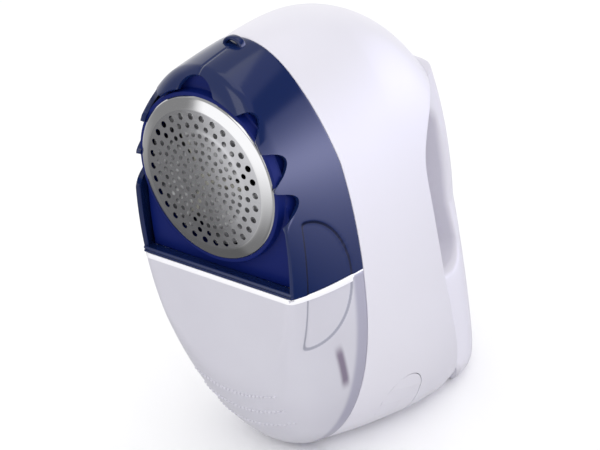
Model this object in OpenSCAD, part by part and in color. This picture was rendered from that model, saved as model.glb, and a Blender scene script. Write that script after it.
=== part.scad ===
// Battery fabric shaver with a loop handle, built as separate pieces.
// Frame: the shaving head faces -Y, +X is to the right seen from the front, +Z is up.
// The origin is on the resting plane, under the middle of the whole depth.

/* [Body shell] */
// Height of the crown above the resting plane
body_h = 163; // [161:1:166]
// Greatest half width of the shell
body_hw = 42.5; // [41:0.5:45]
// Half width of the shell at the front edge
front_hw = 35; // [34.5:0.5:37]
// Wall thickness of the white shell
wall = 2.4; // [1.8:0.2:3]
// Depth of the plane where the head and the lint bin meet the white shell
split_y = 31; // [29:0.5:33]
// Depth where the head meets the white shell at the crown
split_top_y = 25.5; // [24:0.5:28]
// Height of the head's top at its front edge
front_top_z = 158.5; // [157:0.5:160]
// Height of the lowest point of the front edge
front_low_z = 36; // [33:1:40]
// Gap left between neighbouring pieces that come apart
fit_gap = 0.3; // [0.25:0.05:0.4]

/* [Handle] */
// Thickness of the handle bar, front to back
grip_t = 13.5; // [12:0.5:16]
// Half width of the handle bar
grip_hw = 23; // [20:0.5:24]
// Half width of the heel under the handle
heel_hw = 33; // [31:0.5:35]
// Rearmost depth of the handle
back_y = 120; // [117:1:122]
// Height of the lower end of the finger gap
gap_low_z = 47; // [44:1:52]
// Height of the upper end of the finger gap
gap_top_z = 113; // [108:1:115]

/* [Shaving head] */
// Height of the head's axis above the resting plane
head_z = 120; // [118:0.5:121]
// Radius of the steel foil
foil_r = 30; // [28:0.25:30]
// Thickness of the steel foil
foil_t = 0.4; // [0.3:0.05:0.6]
// Rise of the foil's dome
foil_dome = 1.2; // [0.8:0.1:1.6]
// Diameter of the large holes near the foil's rim
hole_big = 2.7; // [2:0.1:3]
// Diameter of the small holes in the foil's middle
hole_small = 1.7; // [1.2:0.1:2]
// Outer radius of the bayonet ring under the foil
ring_r = 28.2; // [27.5:0.1:28.6]
// Wall thickness of the bayonet ring
ring_t = 2.6; // [2:0.1:3]
// Half angle of each bayonet lug
lug_a = 9; // [6:1:11]
// Angle that the foil head turns to come off
lock_turn = 28; // [24:1:30]
// Depth of the blue head plate behind the foil's edge
plate_y = 5; // [4.5:0.25:5.5]
// Thickness of the blue head plate
plate_t = 2.5; // [2:0.1:2.5]

/* [Guard] */
// Wall thickness of the navy guard
guard_t = 2.2; // [1.8:0.1:2.4]
// Height of the guard's lower edge
guard_low_z = 83; // [82:0.5:85]
// Height of the guard's front bar
bar_h = 3.6; // [3:0.2:5]
// Radius of the side scallops in the guard's edge
scallop_r = 6.6; // [5:0.2:7.2]
// Radius of the wide scallop at the top
top_scallop_r = 9.5; // [8:0.5:11]

/* [Lint bin] */
// Wall thickness of the clear lint bin
bin_t = 1.8; // [1.4:0.1:2.4]
// Depth of the thick band round the bin's rear edge
bin_rim_y = 5; // [4:0.5:6]
// Height of the bin's rear wall
bin_back_z = 62; // [50:1:68]

/* [Drive] */
// Radius of the blade circle
blade_r = 24.2; // [22:0.2:24.4]
// Number of cutter blades
blade_n = 3; // [2:1:6]
// Radius of the fan
fan_r = 23.5; // [20:0.5:23.5]
// Number of fan vanes
vane_n = 8; // [4:1:10]
// Radius of the motor shaft
shaft_r = 1; // [0.9:0.05:1.2]
// Radial clearance of the shaft in its bush
run_fit = 0.04; // [0.03:0.01:0.06]
// Radius of the motor can
motor_r = 13.8; // [12:0.2:15]
// Length of the motor can
motor_l = 31; // [28:1:34]

/* [Batteries and switch] */
// Radius of each size C cell
cell_r = 13.1; // [12.8:0.1:13.1]
// Length of each size C cell without its cap
cell_l = 48.5; // [47.5:0.5:48.5]
// Depth of the middle of the battery bay
bay_y = 60; // [59:0.5:61]
// Depth of the middle of the door's side tongues
tongue_y = 53; // [51:0.5:55]
// Thickness of the battery door
door_t = 2; // [1.6:0.1:2.2]
// Half width of the door's side tongues, front to back
tongue_hw = 9.5; // [8:0.5:10]
// Height of the door's side tongues
tongue_z = 27; // [25:1:29]
// Travel of the slide switch
switch_travel = 5; // [4:0.5:6]

/* [Hidden] */
$fn = 64;
body_c = [0.93, 0.92, 0.95];
royal_c = [0.11, 0.14, 0.5];
navy_c = [0.12, 0.16, 0.35];
steel_c = [0.72, 0.72, 0.74];
eps = 0.01;
ring_n = 44;
mid_z = 62;
wide_y = 50;
deep_a = wide_y / sqrt(1 - pow(front_hw / body_hw, 2));
front_ys = [0, 0.8, 2.5, 6, 11, 17, 24, split_y];
rear_ys = [24, split_y, 38, 46, 54, 62, 70, 78, 86, 94, 101, 107, 112, 115.5];
room_ys = [24, split_y, 38, 46, 54, 62, 70, 78, 86];
grip_zs = [0, 5, 12, 22, 34, 48, 62, 76, 90, 104, 114, 122, 128, 133];
foil_y = 1;
ring_y0 = foil_y;
lug_y = plate_y + plate_t + fit_gap;
ring_y1 = lug_y + 1.6;
lug_r = ring_r + 1.5;
collar_r = foil_r + 1.4;
guard_bore_r = foil_r + 2.3;
bore_r = ring_r + fit_gap;
skin = guard_t + 2.4 * fit_gap;
skirt = skin + 2.2;
chamber_y0 = ring_y1 + 0.4;
chamber_y1 = 24;
chamber_r = foil_r - 4;
blade_y = 0.85;
carrier_y = blade_y + 0.8;
fan_y0 = chamber_y0 + 0.8;
fan_y1 = 20;
motor_y = chamber_y1 + 0.4;
shaft_y0 = carrier_y + 1;
shaft_y1 = motor_y + motor_l + 4;
cell_x = cell_r + 0.5;
cell_z = door_t + 6.5;
bay_top_z = cell_z + cell_l + 4;
door_hw = 27.5;
door_d = 15.5;
bay_r = cell_r + 0.35;
bay_z0 = 15;
boss_x = 30;
boss_z = head_z - 23;
post_x = 24.5;
post_z = head_z - 27.5;
post_top_z = head_z + 33;
floor_z = guard_low_z + 1.2;
duct_hw = 13;
duct_t = 1.4;
can_y1 = motor_y + motor_l;
cap_y1 = can_y1 + 4;
button_y = 114.2;
button_z = 101;
button_tilt = 14;
handle_screw_x = 8;
handle_screw_y = 98;
handle_screw_z = 22;
lever_a = 210;
lever_r = 28.9;
grip_mid_y = 95;
crown_y = 42;
low_round = 8;

// Shell geometry
function spow(v, e) = sign(v) * pow(abs(v), e);
function mixv(a, b, t) = a + (b - a) * min(max(t, 0), 1);
function half_w(y) = body_hw * sqrt(1 - pow((y - wide_y) / deep_a, 2));
function front_f(y) = pow(1 - min(y, split_y) / split_y, 1.5);
function centre_z(y) = y < split_y ? 70 + 30 * front_f(y) : mixv(70, mid_z, (y - split_y) / 40);
function top_z(y) = y < crown_y ? body_h - (body_h - front_top_z) * pow(1 - y / crown_y, 2)
  : mid_z + (body_h - mid_z) * pow(1 - pow((y - crown_y) / (back_y - crown_y + 0.5), 2.4), 0.476);
function low_z(y) = y < split_y + 2 ? front_low_z * pow(1 - y / (split_y + 2), 2) - 1
  : mixv(-1, -4, (y - split_y) / 50);
function top_n(y) = y < split_y ? mixv(2.15, 2.05, y / split_y) : mixv(2.05, 2.25, (y - split_y) / 30);
function low_n(y) = y < split_y ? 2.05 : mixv(2.05, 4, (y - split_y) / 54);
function shell_pt(y, a, o) = let (c = cos(a), s = sin(a), zc = centre_z(y),
  e = 2 / (s >= 0 ? top_n(y) : low_n(y)),
  r = low_round * max(-s - 0.5, 0) * 2, f = y < r ? r - sqrt(r * r - pow(r - max(y, 0), 2)) : 0,
  h = (s >= 0 ? top_z(y) - zc : zc - low_z(y)) - o - f)
  [(half_w(y) - o - f) * spow(c, e), y, zc + h * spow(s, e)];
function back_yz(z) = 80 + (back_y - 80) * sqrt(1 - pow(max(z - 58, 0) / 92, 2.15))
  - 6 * pow(max(14 - z, 0) / 14, 2);
function grip_half(z) = z < 70 ? mixv(heel_hw, grip_hw, pow(z / 70, 1.4)) - 5 * pow(max(8 - z, 0) / 8, 2)
  : mixv(grip_hw, grip_hw - 1, (z - 100) / 33);
function seam_y(z) = z > 98 ? 73.3 + 28.7 * pow((z - 98) / 29, 2.4) : 73.3 + 21 * pow((98 - z) / 98, 1.7);

// The build is laid out from the head's front face, then put over the middle of its depth
module placed() {
  translate([0, -(back_y - foil_dome) / 2, 0]) children();
}
// A skin through closed rings of points, with flat ends
module skin_of(rings) {
  n = len(rings[0]);
  m = len(rings);
  pts = [for (r = rings) for (p = r) p];
  polyhedron(points = pts, convexity = 6, faces = concat(
    [[for (i = [0 : n - 1]) i]],
    [for (j = [0 : m - 2]) for (i = [0 : n - 1]) [j * n + i, (j + 1) * n + i, j * n + (i + 1) % n]],
    [for (j = [0 : m - 2]) for (i = [0 : n - 1]) [(j + 1) * n + i, (j + 1) * n + (i + 1) % n, j * n + (i + 1) % n]],
    [[for (i = [n - 1 : -1 : 0]) (m - 1) * n + i]]));
}
module shell_part(ys, o) {
  skin_of([for (y = ys) [for (i = [0 : ring_n - 1]) shell_pt(y, -i * 360 / ring_n, o)]]);
}
module grip_part(o) {
  skin_of([for (z = grip_zs) [for (i = [0 : ring_n - 1]) let (a = i * 360 / ring_n,
    c = cos(a), s = sin(a), e = s > 0 ? 2 / mixv(2.1, 3, z / 80) : 2 / 7)
    [(grip_half(z) - o) * spow(c, e),
     grip_mid_y + (s > 0 ? back_yz(z) - grip_mid_y - o : 40) * spow(s, e), z]]]);
}
// A round wire or cable through a list of points
module tube_on(path, r, n = 8) {
  m = len(path);
  skin_of([for (i = [0 : m - 1]) let (
    v = path[min(i + 1, m - 1)] - path[max(i - 1, 0)], w = v / norm(v),
    side = cross(w, abs(w[2]) > 0.9 ? [0, 1, 0] : [0, 0, 1]), u = side / norm(side), t = cross(w, u))
    [for (k = [0 : n - 1]) path[i] + r * (cos(k * 360 / n) * t + sin(k * 360 / n) * u)]]);
}
// A compression spring standing on z = 0
module coil(r, h, turns, wire) {
  tube_on([for (i = [0 : turns * 12]) let (a = i * 30)
    [r * cos(a), r * sin(a), mixv(wire, h - wire, i / (turns * 12))]], wire, 6);
}
// A bend from one point to another by way of a third
function bend(a, b, c, n = 8) = [for (i = [0 : n]) let (t = i / n)
  pow(1 - t, 2) * a + 2 * t * (1 - t) * b + t * t * c];
// A prism along X from a profile drawn in depth and height
module along_x(x0, x1) {
  translate([x0, 0, 0]) rotate([90, 0, 90]) linear_extrude(x1 - x0) children();
}
// A cylinder along Y starting at depth y0
module rod(r, y0, y1, x = 0, z = head_z) {
  translate([x, y0, z]) rotate([-90, 0, 0]) cylinder(r = r, h = y1 - y0);
}
module ring(r1, r0, y0, y1, x = 0, z = head_z) {
  difference() {
    rod(r1, y0, y1, x, z);
    rod(r0, y0 - 1, y1 + 1, x, z);
  }
}
module block(x0, x1, y0, y1, z0, z1) {
  translate([x0, y0, z0]) cube([x1 - x0, y1 - y0, z1 - z0]);
}
// Everything behind the crease line, seen from the side
module behind_crease(o = 0) {
  polygon(concat([for (z = [-5 : 8 : 123]) [seam_y(max(z, 0)) + o, z]],
    [[seam_y(126) + o, 126], [104, 128], [150, 131], [150, -5]]));
}
module finger_gap_profile(o = 0) {
  hull() {
    translate([seam_y(gap_low_z + 9) + 7, gap_low_z + 9]) circle(r = 9 + o, $fn = 32);
    translate([back_yz(gap_low_z + 9) - grip_t - 9, gap_low_z + 9]) circle(r = 9 + o, $fn = 32);
    translate([seam_y(88) - 1, 88]) circle(r = 1 + o, $fn = 16);
    translate([seam_y(gap_top_z - 12) + 6, gap_top_z - 10]) circle(r = 10 + o, $fn = 32);
    translate([back_yz(82) - grip_t - 20, 82]) circle(r = 20 + o, $fn = 48);
    translate([back_yz(gap_top_z - 9) - grip_t - 10, gap_top_z - 10]) circle(r = 10 + o, $fn = 32);
  }
}
// Everything in front of the line where the head and bin meet the white shell
module before_split(o = 0) {
  polygon([[-10, -20], [split_y + o, -20], [split_y + o, head_z + 2], [split_top_y + 2.2 + o, head_z + 28],
    [split_top_y + o, body_h + 12], [-10, body_h + 12]]);
}
// The side tongue of the battery door, seen from the side
module tongue_profile(o = 0) {
  union() {
    translate([tongue_y, tongue_z - tongue_hw]) circle(r = tongue_hw + o);
    translate([tongue_y - tongue_hw - o, -1]) square([2 * (tongue_hw + o), tongue_z - tongue_hw + 1]);
  }
}
// The room taken by the battery door, o wider all round
module door_space(o = 0) {
  union() {
    block(-door_hw - o, door_hw + o, bay_y - door_d - o, bay_y + door_d + o, -1, 8);
    for (side = [-60, 14]) along_x(side, side + 46) tongue_profile(o);
  }
}
// The shallow D-shaped thumb recess, seen from the side
module thumb_profile() {
  polygon(concat([[3.5, 62]], [for (a = [-86 : 8 : 90]) [4.5 + 24.3 * cos(a), 85 + 23.5 * sin(a)]]));
}
module thumb_recess() {
  difference() {
    for (x = [-60, 20]) along_x(x, x + 40) thumb_profile();
    shell_part(front_ys, 0.6);
  }
}
// Placed at the slide switch, with +Y out of the handle's back and +Z along the travel
module at_switch() {
  translate([0, button_y, button_z]) rotate([button_tilt, 0, 0]) children();
}
// Placed at an angle round the head's axis, with +X outwards
module round_head(a) {
  translate([0, 0, head_z]) rotate([0, -a, 0]) children();
}
module screw(x, y0, y1, z, r = 1.3, head_r = 2.5, head_l = 1.8) {
  difference() {
    union() {
      rod(head_r, y0, y0 + head_l, x, z);
      rod(r, y0 + head_l - eps, y1, x, z);
    }
    block(x - head_r, x + head_r, y0 - 1, y0 + 0.8, z - 0.3, z + 0.3);
    block(x - 0.3, x + 0.3, y0 - 1, y0 + 0.8, z - head_r, z + head_r);
  }
}

// White shell pieces
module shell_room() {
  intersection() {
    shell_part(room_ys, wall);
    along_x(-50, 50) difference() {
      translate([split_top_y - 1, wall]) square([66, body_h + 2]);
      behind_crease(-wall);
    }
  }
}
module head_boss(side) {
  difference() {
    union() {
      rod(3.2, split_y, split_y + 9, side * boss_x, boss_z);
      block(side > 0 ? boss_x : -boss_x - 8.6, side > 0 ? boss_x + 8.6 : -boss_x,
        split_y + 0.2, split_y + 9, boss_z - 1.2, boss_z + 1.2);
    }
    rod(1.3, split_y - 1, split_y + 8, side * boss_x, boss_z);
  }
}
module main_housing() placed() color(body_c) {
  difference() {
    shell_part(rear_ys, 0);
    along_x(-60, 60) {
      behind_crease();
      before_split();
    }
    shell_room();
    translate([-60, 0, -10]) cube([120, 150, 10]);
    intersection() {
      door_space(fit_gap);
      shell_part(room_ys, -2);
    }
    translate([0, 95, 121]) rotate([60, 0, 0]) cylinder(r = 2.2, h = 30, center = true);
    for (x = [-1, 1] * handle_screw_x) handle_screw_path(x);
  }
  intersection() {
    shell_part([split_y, split_y + 2.2], wall - 0.4);
    difference() {
      block(-50, 50, split_y, split_y + 2.2, 3, guard_low_z + 1);
      rod(3, split_y - 1, split_y + 5, -26, 74);
    }
  }
  head_boss(1);
  head_boss(-1);
}
module handle_screw_path(x) {
  rod(1.3, 70, handle_screw_y, x, handle_screw_z);
}
// Room inside the handle, less the walls round its switch and screws
module handle_room() {
  difference() {
    intersection() {
      grip_part(wall);
      along_x(-50, 50) difference() {
        translate([0, wall]) square([150, gap_top_z + 11]);
        difference() {
          translate([0, -10]) square([150, 160]);
          behind_crease(wall);
        }
        finger_gap_profile(wall);
      }
    }
    at_switch() block(-6.4, 6.4, -11.5, 8, -11.5, 11.5);
    for (x = [-1, 1] * handle_screw_x) rod(3, 70, handle_screw_y + 1, x, handle_screw_z);
  }
}
module handle_cover() placed() color(body_c) {
  difference() {
    grip_part(0);
    along_x(-60, 60) difference() {
      translate([0, -10]) square([150, 160]);
      behind_crease();
    }
    along_x(-60, 60) finger_gap_profile();
    handle_room();
    for (x = [-1, 1] * handle_screw_x) handle_screw_path(x);
    at_switch() {
      block(-5.2, 5.2, -2, 8, -9.5, 9.5);
      block(-4.3, 4.3, -9.3, 0, -7.3, 7.3);
      block(-4.3, 4.3, -9.3, -7.4, -7.3, 12);
    }
    translate([0, 103, 108]) rotate([45, 0, 0]) cylinder(r = 2, h = 40, center = true);
  }
}

// Head
module head_plate() placed() color(royal_c) {
  difference() {
    union() {
      difference() {
        shell_part([plate_y, 11, 17, 24, split_y], skin);
        difference() {
          shell_part([plate_y, 11, 17, 24, split_y + 1], skirt);
          block(-60, 60, 0, plate_y + plate_t, 0, 200);
          block(-60, 60, 0, 60, 0, floor_z + 2);
        }
        block(-60, 60, 0, 60, -20, floor_z);
      }
      rod(collar_r, foil_y + 0.7, plate_y + 1);
      for (side = [-1, 1]) {
        rod(3, plate_y + 1, split_y, side * boss_x, boss_z);
        rod(2.8, plate_y + 1, chamber_y1 - 2, side * post_x, post_z);
      }
      rod(2.8, plate_y + 1, chamber_y1 - 2, 0, post_top_z);
      round_head(lever_a) block(lever_r + 3, lever_r + 4.4, plate_y + 1, ring_y1 + 8.6, -5, 5);
    }
    rod(bore_r, -1, ring_y1 + fit_gap);
    for (k = [0 : 2]) round_head(90 + lock_turn + k * 120) rotate([-90, 0, 0])
      rotate([0, 0, -lug_a - 2]) rotate_extrude(angle = 2 * lug_a + 4)
        translate([ring_r - 1, foil_y - 2]) square([lug_r + fit_gap - ring_r + 1, 14]);
    for (side = [-1, 1]) {
      rod(1.5, -1, 60, side * boss_x, boss_z);
      rod(2.8, -1, plate_y + 3, side * boss_x, boss_z);
      rod(1, plate_y + plate_t + 2, 60, side * post_x, post_z);
    }
    rod(1, plate_y + plate_t + 2, 60, 0, post_top_z);
    block(-duct_hw - duct_t - 0.2, duct_hw + duct_t + 0.2, chamber_y0 - 0.2, chamber_y1 - 1.3, 60, floor_z + 8);
  }
}
module fabric_guard() placed() color(navy_c) {
  difference() {
    union() {
      difference() {
        shell_part(front_ys, 0);
        shell_part([-1, 2.5, 6, 11, 17, 24, split_y + 1], guard_t);
        along_x(-60, 60) difference() {
          square([60, 180]);
          before_split(-fit_gap);
        }
      }
      // Inward lip round the foil
      difference() {
        shell_part([0, 2.5], 1);
        rod(guard_bore_r, -1, 4);
        block(-foil_r - 2, foil_r + 2, -1, 4, 0, head_z);
      }
      // Front bar under the head plate
      intersection() {
        block(-60, 60, 0.2, 4, guard_low_z, guard_low_z + bar_h);
        shell_part([0, 2.5, 6], 0.5);
      }
      // Lug at the top for lifting the guard off
      rod(6.2, 18.5, 23, 0, top_z(21) - 3.4);
    }
    block(-60, 60, -5, 60, -20, guard_low_z);
    block(-28, 28, -1, 1, guard_low_z + bar_h / 2 - 0.5, guard_low_z + bar_h / 2 + 0.5);
    rod(guard_bore_r, -1, split_y + 1);
    rod(top_scallop_r, -1, 3, 0, front_top_z - top_scallop_r);
    for (a = [50.5, 24, -2]) for (b = [a, 180 - a]) round_head(b) translate([26, 0.2, 0])
      rotate([0, 90, 0]) cylinder(r = scallop_r, h = 20);
    block(-2.6, 2.6, 17, 25, top_z(21) + 0.5, top_z(21) + 1.5);
    shell_part([17, 24], guard_t);
    thumb_recess();
  }
}
module hole_ring(r, n, d, a0 = 0) {
  for (i = [0 : n - 1]) rotate([0, a0 + i * 360 / n, 0]) translate([r, -6, 0])
    rotate([-90, 0, 0]) cylinder(r = d / 2, h = 14, $fn = 24);
}
module foil() placed() color(steel_c) {
  flat_r = 17.6;
  difference() {
    translate([0, 0, head_z]) rotate([90, 0, 0]) rotate_extrude()
      polygon([[0, foil_dome], [flat_r, foil_dome], [foil_r - 4, 0.2], [foil_r - 0.8, -0.5],
        [foil_r, -1.2], [foil_r, -1.6], [foil_r - foil_t, -1.6], [foil_r - foil_t, -1.3],
        [foil_r - 1, -0.5 - foil_t], [foil_r - 4, 0.2 - foil_t], [flat_r, foil_dome - foil_t],
        [0, foil_dome - foil_t]]);
    translate([0, 0, head_z]) {
      hole_ring(foil_r - 6.7, 30, hole_big);
      hole_ring(foil_r - 9.9, 30, hole_big - 0.4, 6);
      for (k = [0 : 5]) hole_ring(2.6 + k * 2.55, 6 + k * 6, hole_small, k * 11);
    }
  }
}
module foil_ring() placed() color(royal_c) {
  difference() {
    union() {
      rod(ring_r, ring_y0, ring_y1);
      for (k = [0 : 2]) round_head(90 + k * 120) rotate([-90, 0, 0])
        rotate([0, 0, -lug_a]) rotate_extrude(angle = 2 * lug_a)
          translate([ring_r - 1, lug_y]) square([lug_r - ring_r + 1, ring_y1 - lug_y]);
    }
    rod(ring_r - ring_t, ring_y0 - 2, ring_y1 + 1);
  }
}
module cutter_blades() placed() color(steel_c) {
  for (k = [0 : blade_n - 1]) round_head(k * 360 / blade_n) translate([7, blade_y, 0])
    rotate([-90, 0, 0]) linear_extrude(0.8)
      polygon([[0, -3], [blade_r - 9, -1.5], [blade_r - 7.3, 0.6], [blade_r - 8.5, 2.2], [0, 3.4]]);
  ring(8, 2.2, blade_y, blade_y + 0.8);
}
module blade_carrier() placed() color([0.9, 0.9, 0.92]) {
  difference() {
    union() {
      rod(7.6, carrier_y, carrier_y + 1.6);
      rod(4, carrier_y, carrier_y + 4);
      for (k = [0 : blade_n - 1]) round_head(k * 360 / blade_n) block(0, 17, carrier_y, carrier_y + 1.2, -1.4, 1.4);
      rod(2, blade_y + 0.1, carrier_y + 1);
    }
    rod(shaft_r, shaft_y0, 30);
  }
}
module blade_spring() placed() color(steel_c) {
  translate([0, carrier_y + 4, head_z]) rotate([-90, 0, 0])
    coil(2.6, fan_y0 - carrier_y - 4, 3, 0.35);
}
module fan() placed() color([0.2, 0.2, 0.22]) {
  difference() {
    union() {
      rod(4.2, fan_y0, fan_y1);
      rod(fan_r, fan_y1 - 1.4, fan_y1);
      for (k = [0 : vane_n - 1]) round_head(k * 360 / vane_n)
        block(3.5, fan_r - 0.5, fan_y0 + 1, fan_y1 - 1, -0.6, 0.6);
    }
    rod(shaft_r, 0, 40);
  }
}
module motor_shaft() placed() color(steel_c) {
  rod(shaft_r, shaft_y0, shaft_y1);
}
module cutter_chamber() placed() color([0.82, 0.82, 0.84]) {
  back = chamber_y1 - 2;
  difference() {
    union() {
      ring(chamber_r, chamber_r - 1.6, chamber_y0, back + 0.5);
      intersection() {
        shell_part([back, chamber_y1], skirt + fit_gap);
        block(-60, 60, back, chamber_y1, floor_z + 2.3, 200);
      }
      difference() {
        block(-duct_hw - duct_t, duct_hw + duct_t, chamber_y0, back + 0.5, floor_z + 0.2, head_z - 18);
        block(-duct_hw, duct_hw, chamber_y0 + duct_t, back, 0, head_z);
        rod(chamber_r - 0.5, chamber_y0 - 1, back + 1);
      }
      rod(5.5, back - 1, chamber_y1);
    }
    intersection() {
      rod(chamber_r + 1, chamber_y0 + duct_t, back);
      block(-duct_hw, duct_hw, chamber_y0 + duct_t, back, 0, head_z - 15);
    }
    rod(3, 0, 40);
    for (x = [-post_x, post_x]) rod(1.4, 0, 40, x, post_z);
    rod(1.4, 0, 40, 0, post_top_z);
    for (x = [-20, 20]) rod(1, 0, 40, x, head_z);
    rod(4, 0, 40, -24, 103);
    for (x = [-boss_x, boss_x]) rod(3 + fit_gap, 0, 40, x, boss_z);
  }
}
module shaft_bush() placed() color([0.75, 0.58, 0.3]) {
  ring(3, shaft_r + run_fit, chamber_y1 - 3, motor_y + 1.4);
}
module motor_can() placed() color(steel_c) {
  difference() {
    rod(motor_r, motor_y, can_y1);
    rod(motor_r - 0.9, motor_y + 0.9, can_y1 + 1);
    rod(3, motor_y - 1, motor_y + 1.4);
  }
}
module motor_magnets() placed() color([0.25, 0.25, 0.27]) {
  for (a = [15, 195]) round_head(a) rotate([-90, 0, 0]) translate([0, 0, motor_y + 4])
    rotate([0, 0, -150]) rotate_extrude(angle = 150)
      translate([motor_r - 3.4, 0]) square([2.5, motor_l - 9]);
}
module motor_armature() placed() color([0.6, 0.35, 0.2]) {
  difference() {
    union() {
      rod(motor_r - 3.9, motor_y + 6, motor_y + motor_l - 7);
      rod(3.4, motor_y + motor_l - 7, motor_y + motor_l - 1.5);
    }
    rod(shaft_r, 0, 100);
    for (k = [0 : 2]) round_head(30 + k * 120) block(4, motor_r, motor_y, can_y1, -0.8, 0.8);
  }
}
module motor_end_cap() placed() color([0.92, 0.92, 0.88]) {
  difference() {
    union() {
      rod(motor_r - 0.6, can_y1, cap_y1 - 1.2);
      rod(4, can_y1, cap_y1);
    }
    rod(shaft_r + 0.4, 0, cap_y1 + 1);
  }
}
module motor_terminals() placed() color([0.75, 0.58, 0.3]) {
  for (x = [-8, 8]) difference() {
    block(x - 1.4, x + 1.4, cap_y1 - 1.2, cap_y1 + 5, head_z - 0.3, head_z + 0.3);
    translate([x, cap_y1 + 3.4, head_z]) cylinder(r = 0.6, h = 4, center = true);
  }
}
module motor_clamp() placed() color([0.3, 0.3, 0.32]) {
  difference() {
    union() {
      rod(motor_r + 2, chamber_y1, motor_y + 12);
      for (x = [-20, 20]) rod(3.4, chamber_y1, chamber_y1 + 3, x);
      block(-20, 20, chamber_y1, chamber_y1 + 3, head_z - 3.4, head_z + 3.4);
    }
    rod(motor_r, chamber_y1 - 1, 60);
    for (x = [-20, 20]) rod(1.4, 0, 60, x);
  }
}

// Lint bin
module lint_bin() placed() color([0.8, 0.82, 0.86, 0.6]) {
  difference() {
    shell_part(front_ys, 0);
    block(-60, 60, -5, 60, guard_low_z - fit_gap, 200);
    difference() {
      union() {
        shell_part([bin_t, 6, 11, 17, 24, split_y - bin_rim_y, split_y + 1], bin_t);
        block(-30, 30, bin_t, 10, guard_low_z - 20, 100);
      }
      difference() {
        block(-60, 60, split_y - bin_rim_y, 60, -20, 200);
        shell_part([split_y - bin_rim_y - 1, split_y + 2], bin_t + 1.6);
      }
      block(-60, 60, split_y - 1.8, split_y + 0.1, -20, bin_back_z);
      difference() {
        block(-60, 60, -5, 60, guard_low_z - 3, guard_low_z);
        shell_part([bin_t + 1, 6, 11, 17, 24, split_y + 1], bin_t + 1);
      }
    }
    block(-60, 60, -5, 60, -20, 0);
    block(-60, 60, split_y - fit_gap, split_y + 1, -20, 200);
    thumb_recess();
  }
  // Rows of grip beads low on the front
  for (row = [0 : 2]) for (i = [-5 : 5]) grip_bead(3.5 + row * 4.6, 270 + i * (5.6 - 0.5 * row));
}
module grip_bead(y, a) {
  translate(shell_pt(y, a, 0.55)) sphere(r = 1.2, $fn = 20);
}

// Batteries
module battery(side) {
  z0 = cell_z - (side > 0 ? 0 : 1.5);
  translate([side * cell_x, bay_y, z0]) {
    cylinder(r = cell_r, h = cell_l);
    translate([0, 0, side > 0 ? cell_l - eps : -1.5]) cylinder(r = 3.3, h = 1.5 + eps);
  }
}
module battery_holder() placed() color([0.2, 0.2, 0.22]) {
  difference() {
    union() {
      for (x = [-cell_x, cell_x]) translate([x, bay_y, bay_z0]) cylinder(r = bay_r + 1.4, h = bay_top_z - bay_z0);
      block(-cell_x, cell_x, bay_y - 6, bay_y + 6, bay_z0, bay_top_z);
      block(-12, 12, split_y + 2.2, bay_y - 6, bay_top_z - 10, bay_top_z);
    }
    for (x = [-cell_x, cell_x]) {
      translate([x, bay_y, 0]) cylinder(r = bay_r, h = bay_top_z - 1.6);
      translate([x, bay_y, 0]) cylinder(r = 1.6, h = 90);
    }
  }
}
module battery_terminals() placed() color([0.75, 0.75, 0.78]) {
  for (x = [-cell_x, cell_x]) translate([x, bay_y, bay_top_z - 2.2]) {
    cylinder(r = 6, h = 0.6);
    cylinder(r = 1.5, h = 6);
  }
}
module terminal_spring() placed() color(steel_c) {
  low = cell_z - 1.5 + cell_l;
  translate([-cell_x, bay_y, low]) coil(4, bay_top_z - 2.2 - low, 2, 0.4);
}
module door_spring() placed() color(steel_c) {
  translate([cell_x, bay_y, door_t + 0.6]) coil(4, cell_z - fit_gap - door_t - 0.6, 3, 0.4);
}
module battery_door() placed() color(body_c) {
  ys = [38, 46, 54, 62, 70, 78];
  intersection() {
    difference() {
      shell_part(ys, 0);
      intersection() {
        shell_part([37, 46, 54, 62, 70, 79], door_t);
        block(-60, 60, 0, 100, door_t, 100);
      }
      translate([-60, 0, -10]) cube([120, 150, 10]);
    }
    union() {
      block(-door_hw, door_hw, bay_y - door_d, bay_y + door_d, -1, 7.7);
      for (side = [-60, 14.3]) along_x(side, side + 45.7) tongue_profile();
    }
  }
}
module door_link_plate() placed() color([0.75, 0.75, 0.78]) {
  block(-cell_x - 5, cell_x + 5, bay_y - 5, bay_y + 5, door_t, door_t + 0.6);
  translate([-cell_x, bay_y, door_t + 0.5]) cylinder(r = 3, h = cell_z - 3 - fit_gap - door_t - 0.5);
}

// Switch, interlock, fasteners and wiring
module switch_button() placed() color(navy_c) {
  at_switch() {
    difference() {
      block(-4.5, 4.5, -1.7, 1.6, -6.8, 3.2 - 0.8);
      for (z = [-5.4, -3.4, -1.4, 0.6]) block(-5, 5, 1, 3, z, z + 0.8);
    }
    block(-1, 1, -3.4, -1.6, -4.4, -1.4);
  }
}
module switch_body() placed() color([0.15, 0.15, 0.16]) {
  at_switch() difference() {
    block(-4, 4, -9, -2.3, -7, 7);
    block(-1.3, 1.3, -4, 0, -5, -1.4 + switch_travel + 0.6);
  }
}
module switch_terminals() placed() color([0.75, 0.58, 0.3]) {
  at_switch() for (x = [-2, 2]) block(x - 0.7, x + 0.7, -8.6, -8, 7, 9.2);
}
module interlock_switch() placed() color([0.15, 0.15, 0.16]) {
  round_head(lever_a) difference() {
    block(lever_r - 2.2, lever_r + 3, ring_y1 + 2.6, ring_y1 + 8.6, -6, 6);
    translate([lever_r, 0, 0]) rotate([-90, 0, 0]) cylinder(r = 1.1, h = ring_y1 + 4.4);
  }
}
module interlock_plunger() placed() color([0.85, 0.2, 0.15]) {
  round_head(lever_a) translate([lever_r, ring_y1 + 0.3, 0]) rotate([-90, 0, 0]) cylinder(r = 0.9, h = 3);
}
module head_screws() placed() color(steel_c) {
  for (x = [-boss_x, boss_x]) screw(x, plate_y + 1.2, split_y + 7.5, boss_z);
}
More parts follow.
